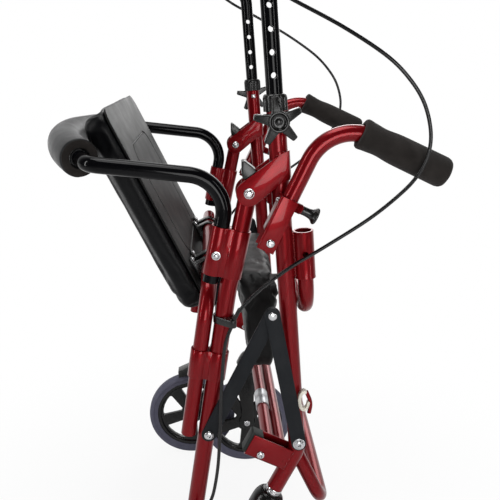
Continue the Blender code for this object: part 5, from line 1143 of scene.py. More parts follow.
def buildArmBrackets():
    slot, wall, rear, front = (armRest[key] for key in ("slot", "wall", "rear", "front"))
    outer, deep, bend, low = slot + wall, rear + wall, armRest["bend"], armRest["from"]
    outline = [(-outer, front)]
    outline += [(-slot, front), (-slot, rear - 0.0008), (-slot + 0.0008, rear)]
    outline += [(slot - 0.0008, rear), (slot, rear - 0.0008), (slot, front), (outer, front)]
    outline += ringOutline((outer - bend, deep - bend), bend, 7, 0.0, 90.0)
    outline += ringOutline((bend - outer, deep - bend), bend, 7, 90.0, 90.0)
    bracket = plate(outline, armPivot, outward, armBack, armAlong, low, armRest["to"])
    high = armRest["notchTo"]
    notch = plate([(rear - 0.001, low - 0.001), (deep + 0.001, low - 0.001), (deep + 0.001, high),
                   (rear - 0.001, high)], armPivot, armBack, armAlong, outward, -slot - 0.0006, slot + 0.0006)
    carve(bracket, notch)
    carve(bracket, rod(armRest["holeRadius"], 0.010, 0.020, armLock, armBack, 30))
    roundEdges(bracket, 0.0005, 2, 50)
    placePair(bracket, "armBracket", "front_frame", "paintRed", ("arm_bracket_",), smooth=34)
    head = boltHead(armPivot + outward * outer, outward, 0.0058, 0.0040)
    shank = rod(0.0034, -outer, outer + 0.0002, armPivot, outward)
    placePair(joinUp([head, shank]), "armBolt", "front_frame", "zincSteel")


def buildArmPosts():
    foot = armPivot - armAlong * 0.0085
    knee = armPivot + armAlong * armRest["kneeAt"]
    crest = armGripStart + gripDirection * armRest["crestAt"]
    end = armGripStart + gripDirection * (armRest["padLength"] - 0.0040)
    route = bendRoute([foot, knee, crest, end], [armRest["kneeRadius"], armRest["crestRadius"]], 3.0)
    post = bentTube(route, tubeRadius, 56)
    roundEdges(post, 0.0007, 2, 60)
    carve(post, rod(0.0038, -0.02, 0.02, armPivot, outward))
    carve(post, rod(0.0036, -0.02, 0.02, armLock, armBack))
    placePair(post, "armPost", "arm_", "paintRed", ("arm_tube_",), smooth=34)


def buildArmPads():
    radius, length = armRest["padRadius"], armRest["padLength"]
    profile = [(0.0128, 0.0), (radius - 0.0030, 0.0), (radius - 0.0006, 0.0010), (radius + 0.0004, 0.0030),
               (radius + 0.0004, 0.0060), (radius - 0.0002, 0.0100)]
    for step in range(1, 21):  # a waist behind the flared start, then fuller towards the blunt end
        share = step / 21
        waist = math.exp(-((share - armRest["waistAt"]) / armRest["waistWidth"]) ** 2) * armRest["waist"]
        profile.append((radius - waist + armRest["padSwell"] * share, 0.0120 + (length - 0.0220) * share))
    profile += [(radius + 0.0008, length - 0.0085), (radius - 0.0002, length - 0.0045),
                (radius - 0.0022, length - 0.0018), (radius - 0.0052, length - 0.0004),
                (radius - 0.0085, length), (0.0, length), (0.0, length - 0.0037), (0.0114, length - 0.0037),
                (0.0114, 0.0080), (0.0120, 0.0040)]
    pad = turned(profile, armGripStart, gripDirection, 56)
    for piece in placePair(pad, "armPad", "arm_", "foamBlack", ("arm_pad_",), smooth=50):
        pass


def buildLockPins():
    ahead = -armBack
    knob = turned([(0.0, 0.0205), (0.0058, 0.0205), (0.0062, 0.0212), (0.0060, 0.0250), (0.0064, 0.0310),
                   (0.0072, 0.0345), (0.0090, 0.0375), (0.0112, 0.0394), (0.0117, 0.0404), (0.0117, 0.0416),
                   (0.0108, 0.0428), (0.0070, 0.0434), (0.0, 0.0436)], armLock, ahead, 48)
    pin = turned([(0.0, -0.0171), (0.0020, -0.0169), (0.0030, -0.0150), (0.0031, -0.0130), (0.0031, 0.0210),
                  (0.0, 0.0210)], armLock, ahead, 28)
    thread = []
    for turnIndex in range(7):
        thread += [(0.0070, 0.0119 + 0.0012 * turnIndex), (0.0064, 0.0125 + 0.0012 * turnIndex)]
    bush = turned([(0.0032, 0.0117)] + thread + [(0.0060, 0.0208), (0.0032, 0.0208)], armLock, ahead, 40)
    for piece in (knob, pin, bush):
        smoothShade(piece, 40)
    placePair(knob, "lockKnob", "arm_plunger_", "plasticBlack", ("arm_plunger_",))
    placePair(pin, "lockPin", "arm_plunger_", "zincSteel")
    placePair(bush, "lockBush", "arm_plunger_", "paintRed")


buildArmBrackets()
buildArmPosts()
buildArmPads()
buildLockPins()
print("armrests")

# Rear legs with their twin sleeves, stops, axles and brake shoe mounts

rearLeg = {
    "topRise": 0.0160, "kneeRadius": 0.3000, "bottomZ": 0.0830, "spacing": 0.0266,
    "sleeveBig": 0.0152, "sleeveSmall": 0.0136, "sleeveBore": 0.0114,
    "upperTopZ": 0.6870, "upperLength": 0.0700, "lowerTopZ": 0.5060, "lowerLength": 0.0440,
    "snapZ": 0.6520, "axleZ": 0.1000, "wheelY": 0.2920, "shoeZ": 0.2420, "foldDeg": 46.8,
    "stops": (0.7545, 0.7730), "axleSeat": 0.0040, "shoeAhead": 0.0005, "shoeReach": 0.0480,
}


def rearPoint(z, y=nearY):
    return spot(rearX(z), y, z)


def shoePoint(y=nearY):
    return spot(rearX(rearLeg["shoeZ"]) + rearLeg["shoeAhead"], y, rearLeg["shoeZ"])


def backrestPoint(z, y=nearY):
    knee = spot(chassis["knee"][0], y, chassis["knee"][1]) + rearUpBack * rearLeg["spacing"]
    return knee + rearUp * ((z - knee.z) / rearUp.z)


def rearCrossPoint(z, y=nearY):
    base = rearPoint(chassis["crossZ"], y) + rearDownBack * rearLeg["spacing"]
    return base + rearDown * ((z - base.z) / rearDown.z)


def twinSleeve(origin, heading, backward, length):
    big, small, spacing = rearLeg["sleeveBig"], rearLeg["sleeveSmall"], rearLeg["spacing"]
    outline = ringOutline((0, 0), big, 25, -138.0, 276.0) + ringOutline((-spacing, 0), small, 25, 48.0, 264.0)
    sleeve = plate(outline, origin, -backward, outward, heading, 0.0, length)
    carve(sleeve, rod(rearLeg["sleeveBore"], -0.004, length + 0.004, Vector(origin) + backward * spacing,
                      heading, 48))
    roundEdges(sleeve, 0.0006, 2, 60)
    return sleeve


def buildRearLegs():
    top = pivotPoint + rearUp * rearLeg["topRise"]
    route = bendRoute([top, kneePoint, rearPoint(rearLeg["bottomZ"])], [rearLeg["kneeRadius"]], 1.5)
    tube = bentTube(route, legRadius, 56)
    upperZ = rearLeg["upperTopZ"] - rearLeg["upperLength"]
    upper = twinSleeve(kneePoint + rearUp * ((upperZ - kneePoint.z) / rearUp.z), rearUp, rearUpBack,
                       rearLeg["upperLength"])
    lowerZ = rearLeg["lowerTopZ"] - rearLeg["lowerLength"]
    lower = twinSleeve(rearPoint(lowerZ), rearDown, rearDownBack, rearLeg["lowerLength"])
    axleSeat = sideY + legRadius - rearLeg["axleSeat"]
    boss = turned([(0.0, 0.0), (0.0090, 0.0), (0.0090, 0.0132), (0.0082, 0.0140), (0.0046, 0.0140),
                   (0.0, 0.0140)], rearPoint(rearLeg["axleZ"], -axleSeat), outward, 36)
    mount = plate([(-0.0030, -0.0060), (0.0040, -0.0060), (0.0040, 0.0060), (-0.0030, 0.0060)],
                  rearPoint(rearLeg["shoeZ"]), (1, 0, 0), (0, 0, 1), outward, 0.0060, 0.0185)
    roundEdges(mount, 0.0008, 2)
    leg = joinUp([tube, upper, lower, boss, mount])
    placePair(leg, "rearLeg", "rear_frame", "paintRed", ("rear_leg_",), smooth=34)


def buildRearFittings():
    face, button = rearLeg["sleeveSmall"], backrestPoint(rearLeg["snapZ"])
    snap = turned([(0.0, face - 0.0012), (0.0047, face - 0.0012), (0.0047, face + 0.0008),
                   (0.0042, face + 0.0018), (0.0028, face + 0.0030), (0.0012, face + 0.0034),
                   (0.0, face + 0.0034)], button, outward, 36)
    ring = turned([(0.0048, face - 0.0002), (0.0062, face - 0.0002), (0.0060, face + 0.0005),
                   (0.0048, face + 0.0007)], button, outward, 36)
    axleSeat = sideY + legRadius - rearLeg["axleSeat"]
    tip = rearLeg["wheelY"] + 0.0165 - axleSeat
    centre = rearPoint(rearLeg["axleZ"], -axleSeat)
    axle = rod(0.0046, 0.0130, tip, centre, outward, 32)
    nut = boltHead(centre + outward * tip, outward, 0.0085, 0.0052)
    reach = rearLeg["shoeReach"]
    shoePin = turned([(0.0, 0.0160), (0.0062, 0.0160), (0.0062, 0.0198), (0.0036, 0.0200), (0.0036, reach),
                      (0.0, reach)], shoePoint(), outward, 32)
    shoeNut = boltHead(shoePoint(nearY - reach), outward, 0.0060, 0.0030)
    for piece in (snap, ring, axle, shoePin):
        smoothShade(piece, 34)
    fittings = joinUp([snap, ring, axle, nut, shoePin, shoeNut])
    placePair(fittings, "rearFittings", "rear_frame", "zincSteel")
    across = Vector((rearUp.z, 0.0, -rearUp.x))
    base = pivotPoint + rearUp * (rearLeg["topRise"] + chassis["gap"])
    turn = math.radians(-rearLeg["foldDeg"])
    stops = []
    for z in rearLeg["stops"]:
        away = legPoint(z) - aheadOfLeg * (legRadius + 0.0008) - pivotPoint
        stops.append(pivotPoint + Vector((away.x * math.cos(turn) + away.z * math.sin(turn), 0.0,
                                          away.z * math.cos(turn) - away.x * math.sin(turn))))
    low, high = stops
    corners = [base - across * 0.0115, base + across * 0.0105, low, high, high + Vector((-0.004, 0, -0.001)),
               base - across * 0.0120 + Vector((-0.0010, 0, 0.0060))]
    wedge = plate([(corner.x, corner.z) for corner in corners], (0, nearY, 0), (1, 0, 0), (0, 0, 1), outward,
                  -0.0112, 0.0112)
    roundEdges(wedge, 0.0014, 3)
    placePair(wedge, "legWedge", "rear_frame", "plasticBlack", ("leg_plug_",), smooth=40)


cableClamp = {"z": 0.5560, "eyeAt": (0.0260, -0.2740), "radius": 0.0150, "eyeRadius": 0.0048, "bore": 0.0129,
              "eyeBore": 0.0028, "half": 0.0055}


def buildCableClamps():  # strap round the leg with an eye for the cable
    z, big, small, half = (cableClamp[key] for key in ("z", "radius", "eyeRadius", "half"))
    leg, run = rearPoint(z), spot(*cableClamp["eyeAt"], z)
    away = run - leg
    away.z = 0.0
    heading = away.normalized()
    across = Vector((-heading.y, heading.x, 0.0))
    reach = away.length
    lean = math.degrees(math.acos((big - small) / reach))
    outline = (ringOutline((0, 0), big, 31, lean, 360.0 - 2 * lean)
               + ringOutline((reach, 0), small, 11, -lean, 2 * lean))
    clamp = plate(outline, leg, heading, across, (0, 0, 1), -half, half)
    for centre, bore in ((leg, cableClamp["bore"]), (run, cableClamp["eyeBore"])):
        carve(clamp, rod(bore, -0.02, 0.02, centre, (0, 0, 1), 40))
    roundEdges(clamp, 0.0006, 2, 50)
    placePair(clamp, "cableClamp", "rear_frame", "plasticBlack", smooth=34)


# Tubes across the frame

crossTubes = {
    "rearFootZ": 0.3720, "rearBend": 0.0500, "frontTopZ": 0.6380, "frontZ": 0.5600, "frontBend": 0.0450,
    "footHinge": (0.1195, 0.3300), "footCorner": (0.1710, 0.2190), "footY": 0.2238, "footRadius": 0.0108,
    "footBend": 0.0400, "reach": 0.2372, "bandFrom": -0.1420, "wall": 0.0016, "thinWall": 0.0015,
    "bandDown": 0.0112, "lowerAt": 0.0228, "lowerRadius": 0.0092, "braceAt": 0.0440, "braceRadius": 0.0095,
}


def buildCrossTubes():
    for pointAt, endZ, z, bend, name, body, node in (
            (rearCrossPoint, crossTubes["rearFootZ"], chassis["crossZ"], crossTubes["rearBend"],
             "rearCrossTube", "rear_frame", "rear_cross_tube"),
            (socketPoint, crossTubes["frontTopZ"], crossTubes["frontZ"], crossTubes["frontBend"],
             "frontCrossTube", "front_frame", "front_cross_tube")):
        route = bendRoute([pointAt(endZ), pointAt(z), pointAt(z, sideY), pointAt(endZ, sideY)],
                          [bend] * 2, 3.0)
        tube = bentTube(route, tubeRadius, 52, crossTubes["wall"])
        place(tube, name, body, "paintRed", (node,), smooth=34)
    reach, down = crossTubes["reach"], crossTubes["bandDown"]
    for name, e, radius, node in (
            ("lowerCrossTube", crossTubes["lowerAt"], crossTubes["lowerRadius"], "lower_cross_tube"),
            ("braceTube", crossTubes["braceAt"], crossTubes["braceRadius"], "brace_tube")):
        tube = bentTube([channelPoint(e, down, y) for y in (-reach, 0.0, reach)], radius, 44,
                        crossTubes["thinWall"])
        place(tube, name, "front_frame", "paintRed", (node,), smooth=34)
    band = turned([(0.0098, 0.0), (0.0113, 0.0), (0.0114, 0.0006), (0.0112, 0.0012), (0.0112, 0.0236),
                   (0.0114, 0.0240), (0.0112, 0.0244), (0.0112, 0.0468), (0.0114, 0.0474), (0.0113, 0.0480),
                   (0.0098, 0.0480)], channelPoint(crossTubes["braceAt"], down, crossTubes["bandFrom"]),
                  (0, 1, 0), 48)
    place(band, "tubeBand", "front_frame", "bandSilver", ("tube_band",), smooth=34)


def buildFootBar():
    hinge, corner = (spot(crossTubes[key][0], -crossTubes["footY"], crossTubes[key][1])
                     for key in ("footHinge", "footCorner"))
    across = Vector((0, 2 * crossTubes["footY"], 0))
    route = bendRoute([hinge, corner, corner + across, hinge + across], [crossTubes["footBend"]] * 2, 3.0)
    bar = bentTube(route, crossTubes["footRadius"], 52)
    roundEdges(bar, 0.0016, 3, 60)
    heading = (corner - hinge).normalized()
    pins = []
    for side in (-1, 1):
        seat = hinge + heading * 0.0090
        seat.y = side * (sideY - legRadius - chassis["gap"])
        pins.append(turned([(0.0, 0.0), (0.0074, 0.0), (0.0078, 0.0005), (0.0078, 0.0050), (0.0, 0.0050)],
                           seat, (0, -side, 0), 32))
    place(joinUp([bar] + pins), "footBar", "foot_rest", "paintRed", ("foot_bar",), smooth=36)


strapClip = {"at": (0.1292, -0.2652, 0.4300), "outer": (0.0088, 0.0168), "inner": (0.0046, 0.0120),
             "innerAhead": 0.0006, "openDeg": 62.0, "sweepDeg": 290.0, "half": 0.0044,
             "hook": ((0.1325, 0.4440), (0.1405, 0.4250), (0.1375, 0.4085)), "hookBend": 0.0300,
             "hookRadius": 0.0030}


def buildStrapClip():  # an open oval ring, and the rod hook that carries it
    (wide, tall), (innerWide, innerTall) = strapClip["outer"], strapClip["inner"]
    start, sweep, half = strapClip["openDeg"], strapClip["sweepDeg"], strapClip["half"]
    outline = ringOutline((0, 0), wide, 33, start, sweep, tall)
    outline += ringOutline((strapClip["innerAhead"], 0), innerWide, 33, start + sweep, -sweep, innerTall)
    clip = plate(outline, spot(*strapClip["at"]), (1, 0, 0), (0, 0, 1), (0, 1, 0), -half, half)
    roundEdges(clip, 0.0007, 2, 40)
    place(clip, "strapClip", "front_frame", "labelCream", ("strap_clip",), smooth=40)
    corners = [spot(x, strapClip["at"][1], z) for x, z in strapClip["hook"]]
    hook = bentTube(bendRoute(corners, [strapClip["hookBend"]], 4.0), strapClip["hookRadius"], 14)
    roundEdges(hook, 0.0008, 2, 60)
    place(hook, "strapHook", "front_frame", "paintRed", smooth=40)


# Backrest: bowed tube and its foam roll

backrest = {"footZ": 0.6110, "bendZ": 0.7560, "hook": (-0.1640, 0.7772), "bowY": 0.2050, "bowX": -0.2340,
            "bowRise": 0.0515, "bowZ": 0.7855, "bowDrop": 0.0068, "shoulder": 0.0520, "hookRadius": 0.0220,
            "foamRadius": 0.0275, "edge": 0.0026, "dent": 0.0007, "fineDent": 0.00022, "sink": 0.0003,
            "rings": 60}


def bowPoint(y):
    share = (y / backrest["bowY"]) ** 2
    return spot(backrest["bowX"] + backrest["bowRise"] * share, y,
                backrest["bowZ"] - backrest["bowDrop"] * share)


def buildBackrest():
    low, shoulder = backrestPoint(backrest["footZ"]), backrestPoint(backrest["bendZ"])
    hook = spot(backrest["hook"][0], nearY, backrest["hook"][1])
    flip = Vector((1, -1, 1))
    bow = [bowPoint(backrest["bowY"] * index / 12) for index in range(-12, 13)]
    corners = [low, shoulder, hook] + bow + [hook * flip, shoulder * flip, low * flip]
    radii = [backrest["shoulder"], backrest["hookRadius"]] + [0.0] * len(bow)
    radii += [backrest["hookRadius"], backrest["shoulder"]]
    tube = bentTube(bendRoute(corners, radii, 3.0), tubeRadius, 52)
    place(tube, "backrestTube", "rear_frame", "paintBlack", ("backrest_tube",), smooth=40)


def buildFoamRoll():
    reach, edge, radius = backrest["bowY"], backrest["edge"], backrest["foamRadius"]
    places, factors, stations = [], [], []
    for step in range(7):
        turn = math.radians(15 * step)
        stations.append((reach - edge * (1 - math.cos(turn)), radius - edge * (1 - math.sin(turn))))
    stations += [(reach - edge - (reach - edge) * 2 * index / backrest["rings"], radius)
                 for index in range(1, backrest["rings"])]
    stations += [(-y, size) for y, size in reversed(stations[:7])]
    for y, size in stations:
        places.append(bowPoint(y))
        factors.append(size / radius)
    roll = bentTube(places, radius, 64, radii=factors)
    for vertex in roll.data.vertices:  # the foam's soft dents and its lengthwise skin
        away = vertex.co - bowPoint(max(-reach, min(reach, vertex.co.y)))
        away.y = 0.0
        if away.length > 0.012 and abs(vertex.co.y) < reach - 0.002:
            dent = (noise.noise(vertex.co * 16.0) * backrest["dent"]
                    + noise.noise(vertex.co * 70.0) * backrest["fineDent"])
            vertex.co += away.normalized() * (dent - backrest["sink"])
    ends = []
    for side in (-1, 1):
        face = bowPoint(side * reach)
        heading = (face - bowPoint(side * (reach - 0.004))).normalized()
        carve(roll, turned([(0.0118, -0.006), (0.0150, 0.0), (0.0150, 0.004), (0.0118, 0.004)], face,
                           heading, 40))
        ends.append(turned([(0.0148, -0.0010), (0.0246, -0.0010), (0.0256, 0.0002), (0.0256, 0.0008),
                            (0.0248, 0.0012), (0.0158, 0.0012), (0.0148, 0.0006)], face, heading, 64))
    skin = joinUp(ends)
    place(skin, "foamEnds", "rear_frame", "foamBlack", smooth=50)
    place(roll, "foamRoll", "rear_frame", "foamRoll", ("backrest_foam",), smooth=44)


buildRearLegs()
buildRearFittings()
buildCableClamps()
buildCrossTubes()
buildFootBar()
buildStrapClip()
buildBackrest()
buildFoamRoll()
print("rear frame and cross tubes")

# Folding links, two flat bars each side, riveted to each other

links = {"length": 0.2085, "half": 0.0110, "thick": 0.0040, "rearBolt": (-0.0104, 0.3783),
         "frontBolt": (0.1227, 0.3610), "inner": 0.2645, "middle": 0.2690, "head": (0.0072, 0.0044)}


def linkRivet():
    (rearBoltX, rearBoltZ), (frontBoltX, frontBoltZ) = links["rearBolt"], links["frontBolt"]
    spanX, spanZ = frontBoltX - rearBoltX, frontBoltZ - rearBoltZ
    span = math.hypot(spanX, spanZ)
    rise = math.sqrt(links["length"] ** 2 - (span / 2) ** 2)
    return ((frontBoltX + rearBoltX) / 2 - spanZ / span * rise,
            (frontBoltZ + rearBoltZ) / 2 + spanX / span * rise)


def flatBar(first, second, low, body, name, node):
    start, end = spot(first[0], 0, first[1]), spot(second[0], 0, second[1])
    bar = plate(capsuleOutline((start.x, start.z), (end.x, end.z), links["half"], 22), (0, 0, 0), (1, 0, 0),
                (0, 0, 1), outward, low, low + links["thick"])
    roundEdges(bar, 0.0007, 2, 50)
    placePair(bar, name, body, "coatBlack", (node,), smooth=34)


def buildLinks():
    rivet = linkRivet()
    flatBar(links["rearBolt"], rivet, links["inner"], "rear_link_", "rearLink", "rear_link_")
    flatBar(links["frontBolt"], rivet, links["middle"], "front_link_", "frontLink", "front_link_")
    rearTop, frontTop = links["inner"] + links["thick"], links["middle"] + links["thick"]
    spots = {"rear": spot(links["rearBolt"][0], -rearTop, links["rearBolt"][1]),
             "front": spot(links["frontBolt"][0], -frontTop, links["frontBolt"][1]),
             "rivet": spot(rivet[0], -frontTop, rivet[1])}
    legFace = sideY + legRadius + chassis["gap"]
    rear = [boltHead(spots["rear"], outward, *links["head"]),
            rod(0.0038, 0.0, rearTop - legFace, spots["rear"], -outward)]
    front = [boltHead(spots["front"], outward, *links["head"]),
             rod(0.0078, 0.0, frontTop - legFace, spots["front"], -outward, 32),
             washer(spots["front"] - outward * 0.0002, outward, 0.004, 0.0090, 0.0008),
             boltHead(spots["rivet"], outward, 0.0064, 0.0028, False),
             turned([(0.0, -0.0002), (0.0030, 0.0002), (0.0024, 0.0032), (0.0, 0.0035)], spots["rivet"],
                    outward, 24)]
    placePair(joinUp(rear), "rearLinkBolt", "rear_link_", "zincSteel")
    placePair(joinUp(front), "frontLinkBolts", "front_link_", "zincSteel")


# Wheels, modelled once round the origin and copied to the four axles

wheel = {"radius": 0.1000, "half": 0.0130, "seat": 0.0810, "rimInner": 0.0722, "web": 0.0050,
         "bore": 0.0050, "spokes": 5, "windowHalfDeg": 26.0, "windowInner": 0.0270,
         "windowCorner": 0.0038, "phase": 0.35}


def wheelRing(side, steps):  # a ring round the axle from the left half of its profile
    return turned(side + [(size, -aside) for size, aside in reversed(side)], (0, 0, 0), (0, 1, 0), steps)


def tyreShape():
    half, seat, radius = wheel["half"], wheel["seat"], wheel["radius"]
    return wheelRing([(seat, half * 0.72), (radius - 0.0140, half * 0.86), (radius - 0.0118, half * 0.92),
                      (radius - 0.0112, half * 0.88), (radius - 0.0106, half * 0.94), (radius - 0.0072, half),
                      (radius - 0.0045, half * 0.985), (radius - 0.0020, half * 0.86),
                      (radius - 0.0006, half * 0.64), (radius, half * 0.36), (radius, half * 0.05),
                      (radius - 0.0003, half * 0.03)], 128)


def hubShape():
    inner, outer, web = wheel["rimInner"], wheel["seat"] - 0.0003, wheel["web"]
    rim = wheelRing([(inner - 0.0012, web * 0.9), (inner, web + 0.0004), (inner + 0.0022, 0.0079),
                     (outer - 0.0022, 0.0086), (outer, 0.0080)], 128)
    core = wheelRing([(wheel["bore"], 0.0112), (0.0128, 0.0112), (0.0136, 0.0104), (0.0150, 0.0104),
                      (0.0166, 0.0098), (0.0186, 0.0058), (0.0210, 0.0050)], 64)
    flat = ((0, 0, 0), (1, 0, 0), (0, 0, -1), (0, 1, 0))
    disc = plate(ringOutline((0, 0), inner + 0.0006, 128), *flat, -web, web)
    far, near = inner - 0.0040, wheel["windowInner"] - 0.001
    windows = []
    for index in range(wheel["spokes"]):
        middle = math.degrees(2 * math.pi * (index + 0.5) / wheel["spokes"] + wheel["phase"])
        corners = [polar(middle + wheel["windowHalfDeg"] * share, distance) for share, distance in
                   ((-0.92, far), (-0.45, far), (0.0, far), (0.45, far), (0.92, far), (0.34, near),
                    (-0.34, near))]
        windows.append(plate(softPolygon(corners, wheel["windowCorner"], 12.0), *flat, -0.02, 0.02))
    carve(disc, joinUp(windows))
    roundEdges(disc, 0.0013, 3, 50)
    return joinUp([disc, rim, core])


def copyTo(piece, centre):
    twin = copyOf(piece)
    twin.data.transform(Matrix.Translation(Vector(centre)))
    return twin


caster = {"trail": 0.0613, "drop": 0.1636, "bladeInner": 0.0145, "bladeThick": 0.0030}


def casterPoint(n, d, y=nearY):  # n ahead of the stem's end, d below it along the stem
    return bendPoint(y) + stemDown * chassis["stemLength"] + stemAhead * n + stemDown * d


def buildWheels():
    tyre, hub = tyreShape(), hubShape()
    smoothShade(tyre, 40)
    smoothShade(hub, 36)
    for side, label in ((-1, "right"), (1, "left")):
        axles = {"rear": rearPoint(rearLeg["axleZ"], side * rearLeg["wheelY"]),
                 "front": casterPoint(caster["trail"], caster["drop"], side * sideY)}
        for end, centre in axles.items():
            for piece, kind, finish in ((tyre, "tyre", "tyreGrey"), (hub, "hub", "plasticBlack")):
                node = kind + "_" + end + "_" + label
                name = end + kind.title() + label.title()
                place(copyTo(piece, centre), name, end + "_wheel_" + label, finish, (node,))
    for piece in (tyre, hub):
        bpy.data.objects.remove(piece)


def buildCasters():
    trail, drop = caster["trail"], caster["drop"]
    crown = turned([(0.0, 0.0088), (0.0148, 0.0088), (0.0172, 0.0098), (0.0200, 0.0124), (0.0222, 0.0160),
                    (0.0238, 0.0205), (0.0247, 0.0260), (0.0250, 0.0330), (0.0250, 0.0420), (0.0240, 0.0440),
                    (0.0, 0.0440)], casterPoint(0, 0), stemDown, 56)
    outline = softPolygon([(-0.0190, 0.0330), (0.0190, 0.0330), (0.0420, 0.0900),
                           (trail + 0.0140, drop - 0.0060), (trail + 0.0120, drop + 0.0080),
                           (trail, drop + 0.0140), (trail - 0.0120, drop + 0.0080),
                           (trail - 0.0260, drop - 0.0260), (-0.0120, 0.0760)], 0.0045, 10.0)
    inner, thick = caster["bladeInner"], caster["bladeThick"]
    parts = [crown] + cheekPair(outline, casterPoint(0, 0), stemAhead, stemDown, inner, inner + thick,
                                0.0009, 3, 50)
    webShape = [(-0.0170, 0.0400), (0.0170, 0.0400), (0.0215, 0.0520), (-0.0150, 0.0520)]
    web = plate(softPolygon(webShape, 0.003), casterPoint(0, 0), stemAhead, stemDown, outward, -inner - 0.001,
                inner + 0.001)
    fork = joinUp(parts + [web])
    placePair(fork, "casterFork", "caster_", "plasticBlack", ("caster_fork_",), smooth=36)
    race = turned([(0.0, -0.0310), (0.0104, -0.0310), (0.0104, 0.0003), (0.0127, 0.0003), (0.0131, 0.0012),
                   (0.0131, 0.0030), (0.0122, 0.0038), (0.0122, 0.0048), (0.0131, 0.0056), (0.0131, 0.0082),
                   (0.0124, 0.0090), (0.0, 0.0090)], casterPoint(0, 0), stemDown, 48)
    face = inner + thick
    axle = rod(0.0046, -face - 0.0006, face + 0.0006, casterPoint(trail, drop), outward, 32)
    nuts = [boltHead(casterPoint(trail, drop) + outward * face, outward, 0.0070, 0.0030),
            boltHead(casterPoint(trail, drop) - outward * face, -outward, 0.0070, 0.0030)]
    smoothShade(race, 34)
    placePair(joinUp([race, axle] + nuts), "casterBearing", "caster_", "zincSteel")


brakeShoe = {"arcRadius": 0.1038, "arcDeg": (86.0, 20.0), "from": 0.2704, "to": 0.2974, "hole": 0.0040}


def buildBrakeShoes():
    centre, pivot = rearPoint(rearLeg["axleZ"]), shoePoint()
    pad = ringOutline((centre.x, centre.z), brakeShoe["arcRadius"], 9, *brakeShoe["arcDeg"])
    pad += [(pad[-1][0] - 0.0010, 0.2150), (pivot.x - 0.0120, 0.2330)]
    pad += ringOutline((pivot.x - 0.0005, pivot.z), 0.0108, 9, 160.0, -160.0)
    pad += [(pivot.x + 0.0100, 0.2340)]
    shoe = plate(pad, (0, 0, 0), (1, 0, 0), (0, 0, 1), outward, brakeShoe["from"], brakeShoe["to"])
    carve(shoe, rod(brakeShoe["hole"], 0.26, 0.31, (pivot.x, 0, pivot.z), outward, 32))
    roundEdges(shoe, 0.0010, 3, 45)
    placePair(shoe, "brakeShoe", "brake_shoe_", "plasticBlack", ("brake_shoe_",), smooth=36)


buildLinks()
buildWheels()
buildCasters()
buildBrakeShoes()
print("links, wheels and casters")

# Seat: board with pressed lines, clips on the cross tube, sewn cushion

seat = {"halfWidth": 0.1800, "halfDepth": 0.1675, "board": 0.0034, "panel": 0.0030, "top": 0.0455,
        "leanDeg": 26.0, "drop": 0.0220, "fromFront": 0.2868, "clips": (-0.1350, -0.0980, 0.0980, 0.1350),
        "grooveInset": 0.0700, "grooveCorner": 0.0340, "grooveRadius": 0.0021, "cushionCorner": 0.0240,
        "voxel": 0.0050, "pressure": 4.0, "cap": 0.0060, "frames": 20, "seamInset": 0.0300,
        "seamWidth": 0.0030, "seamDepth": 0.0030, "crown": 0.0040, "crownReach": 0.0500, "crease": 0.0007}
seatLean = math.radians(seat["leanDeg"])
seatUp = Vector((-math.sin(seatLean), 0.0, math.cos(seatLean)))
seatPad = Vector((-math.cos(seatLean), 0.0, -math.sin(seatLean)))
seatAxis = rearCrossPoint(chassis["crossZ"], 0.0)
seatCentre = seatAxis + seatPad * seat["drop"] + seatUp * (seat["fromFront"] - seat["halfDepth"])
sideways = Vector((0.0, 1.0, 0.0))


def seatOffset(place):  # how far up the seat, sideways and into the cushion
    offset = place - seatCentre
    return offset.dot(seatUp), offset.y, offset.dot(seatPad)


def seatOutline(inset, radius):
    return roundedBox(seat["halfDepth"] - inset, seat["halfWidth"] - inset, radius, 12)


def seatPath(inset, radius, height):
    return [seatCentre + seatUp * a + sideways * b + seatPad * height for a, b in seatOutline(inset, radius)]


def buildSeatBoard():
    board = plate(seatOutline(0.0040, 0.0262), seatCentre, seatUp, sideways, seatPad, 0.0, seat["panel"])
    roundEdges(board, 0.0008, 3, 45)
    line = seatPath(seat["grooveInset"], seat["grooveCorner"], -0.0002)
    carve(board, bentTube(line, seat["grooveRadius"], 12, cyclic=True))
    place(board, "seatBoard", "seat", "boardBlack", ("seat_board",), smooth=30)
    bore, drop = 0.0114, seat["drop"] + 0.0006
    wrap = bore + 0.0032
    clips, screws = [], []
    for y in seat["clips"]:
        outline = [(0.0250, drop - 0.0050), (0.0250, drop), (-0.0250, drop), (-0.0250, drop - 0.0050),
                   (-wrap, drop - 0.0060)]
        outline += ringOutline((0, 0), wrap, 25, 180.0, 180.0) + [(wrap, drop - 0.0060)]
        middle = seatAxis + sideways * y
        clip = plate(outline, middle, seatUp, seatPad, sideways, -0.0075, 0.0075)
        carve(clip, rod(bore, -0.02, 0.02, middle, sideways, 40))
        roundEdges(clip, 0.0009, 3, 45)
        clips.append(clip)
        for along in (-0.0200, 0.0200):
            foot = middle + seatUp * along + seatPad * (drop - 0.0050)
            screws.append(boltHead(foot, -seatPad, 0.0036, 0.0024))
    clips = joinUp(clips)
    place(clips, "seatClips", "seat", "plasticBlack", smooth=36)
    place(joinUp(screws), "seatScrews", "seat", "zincSteel")


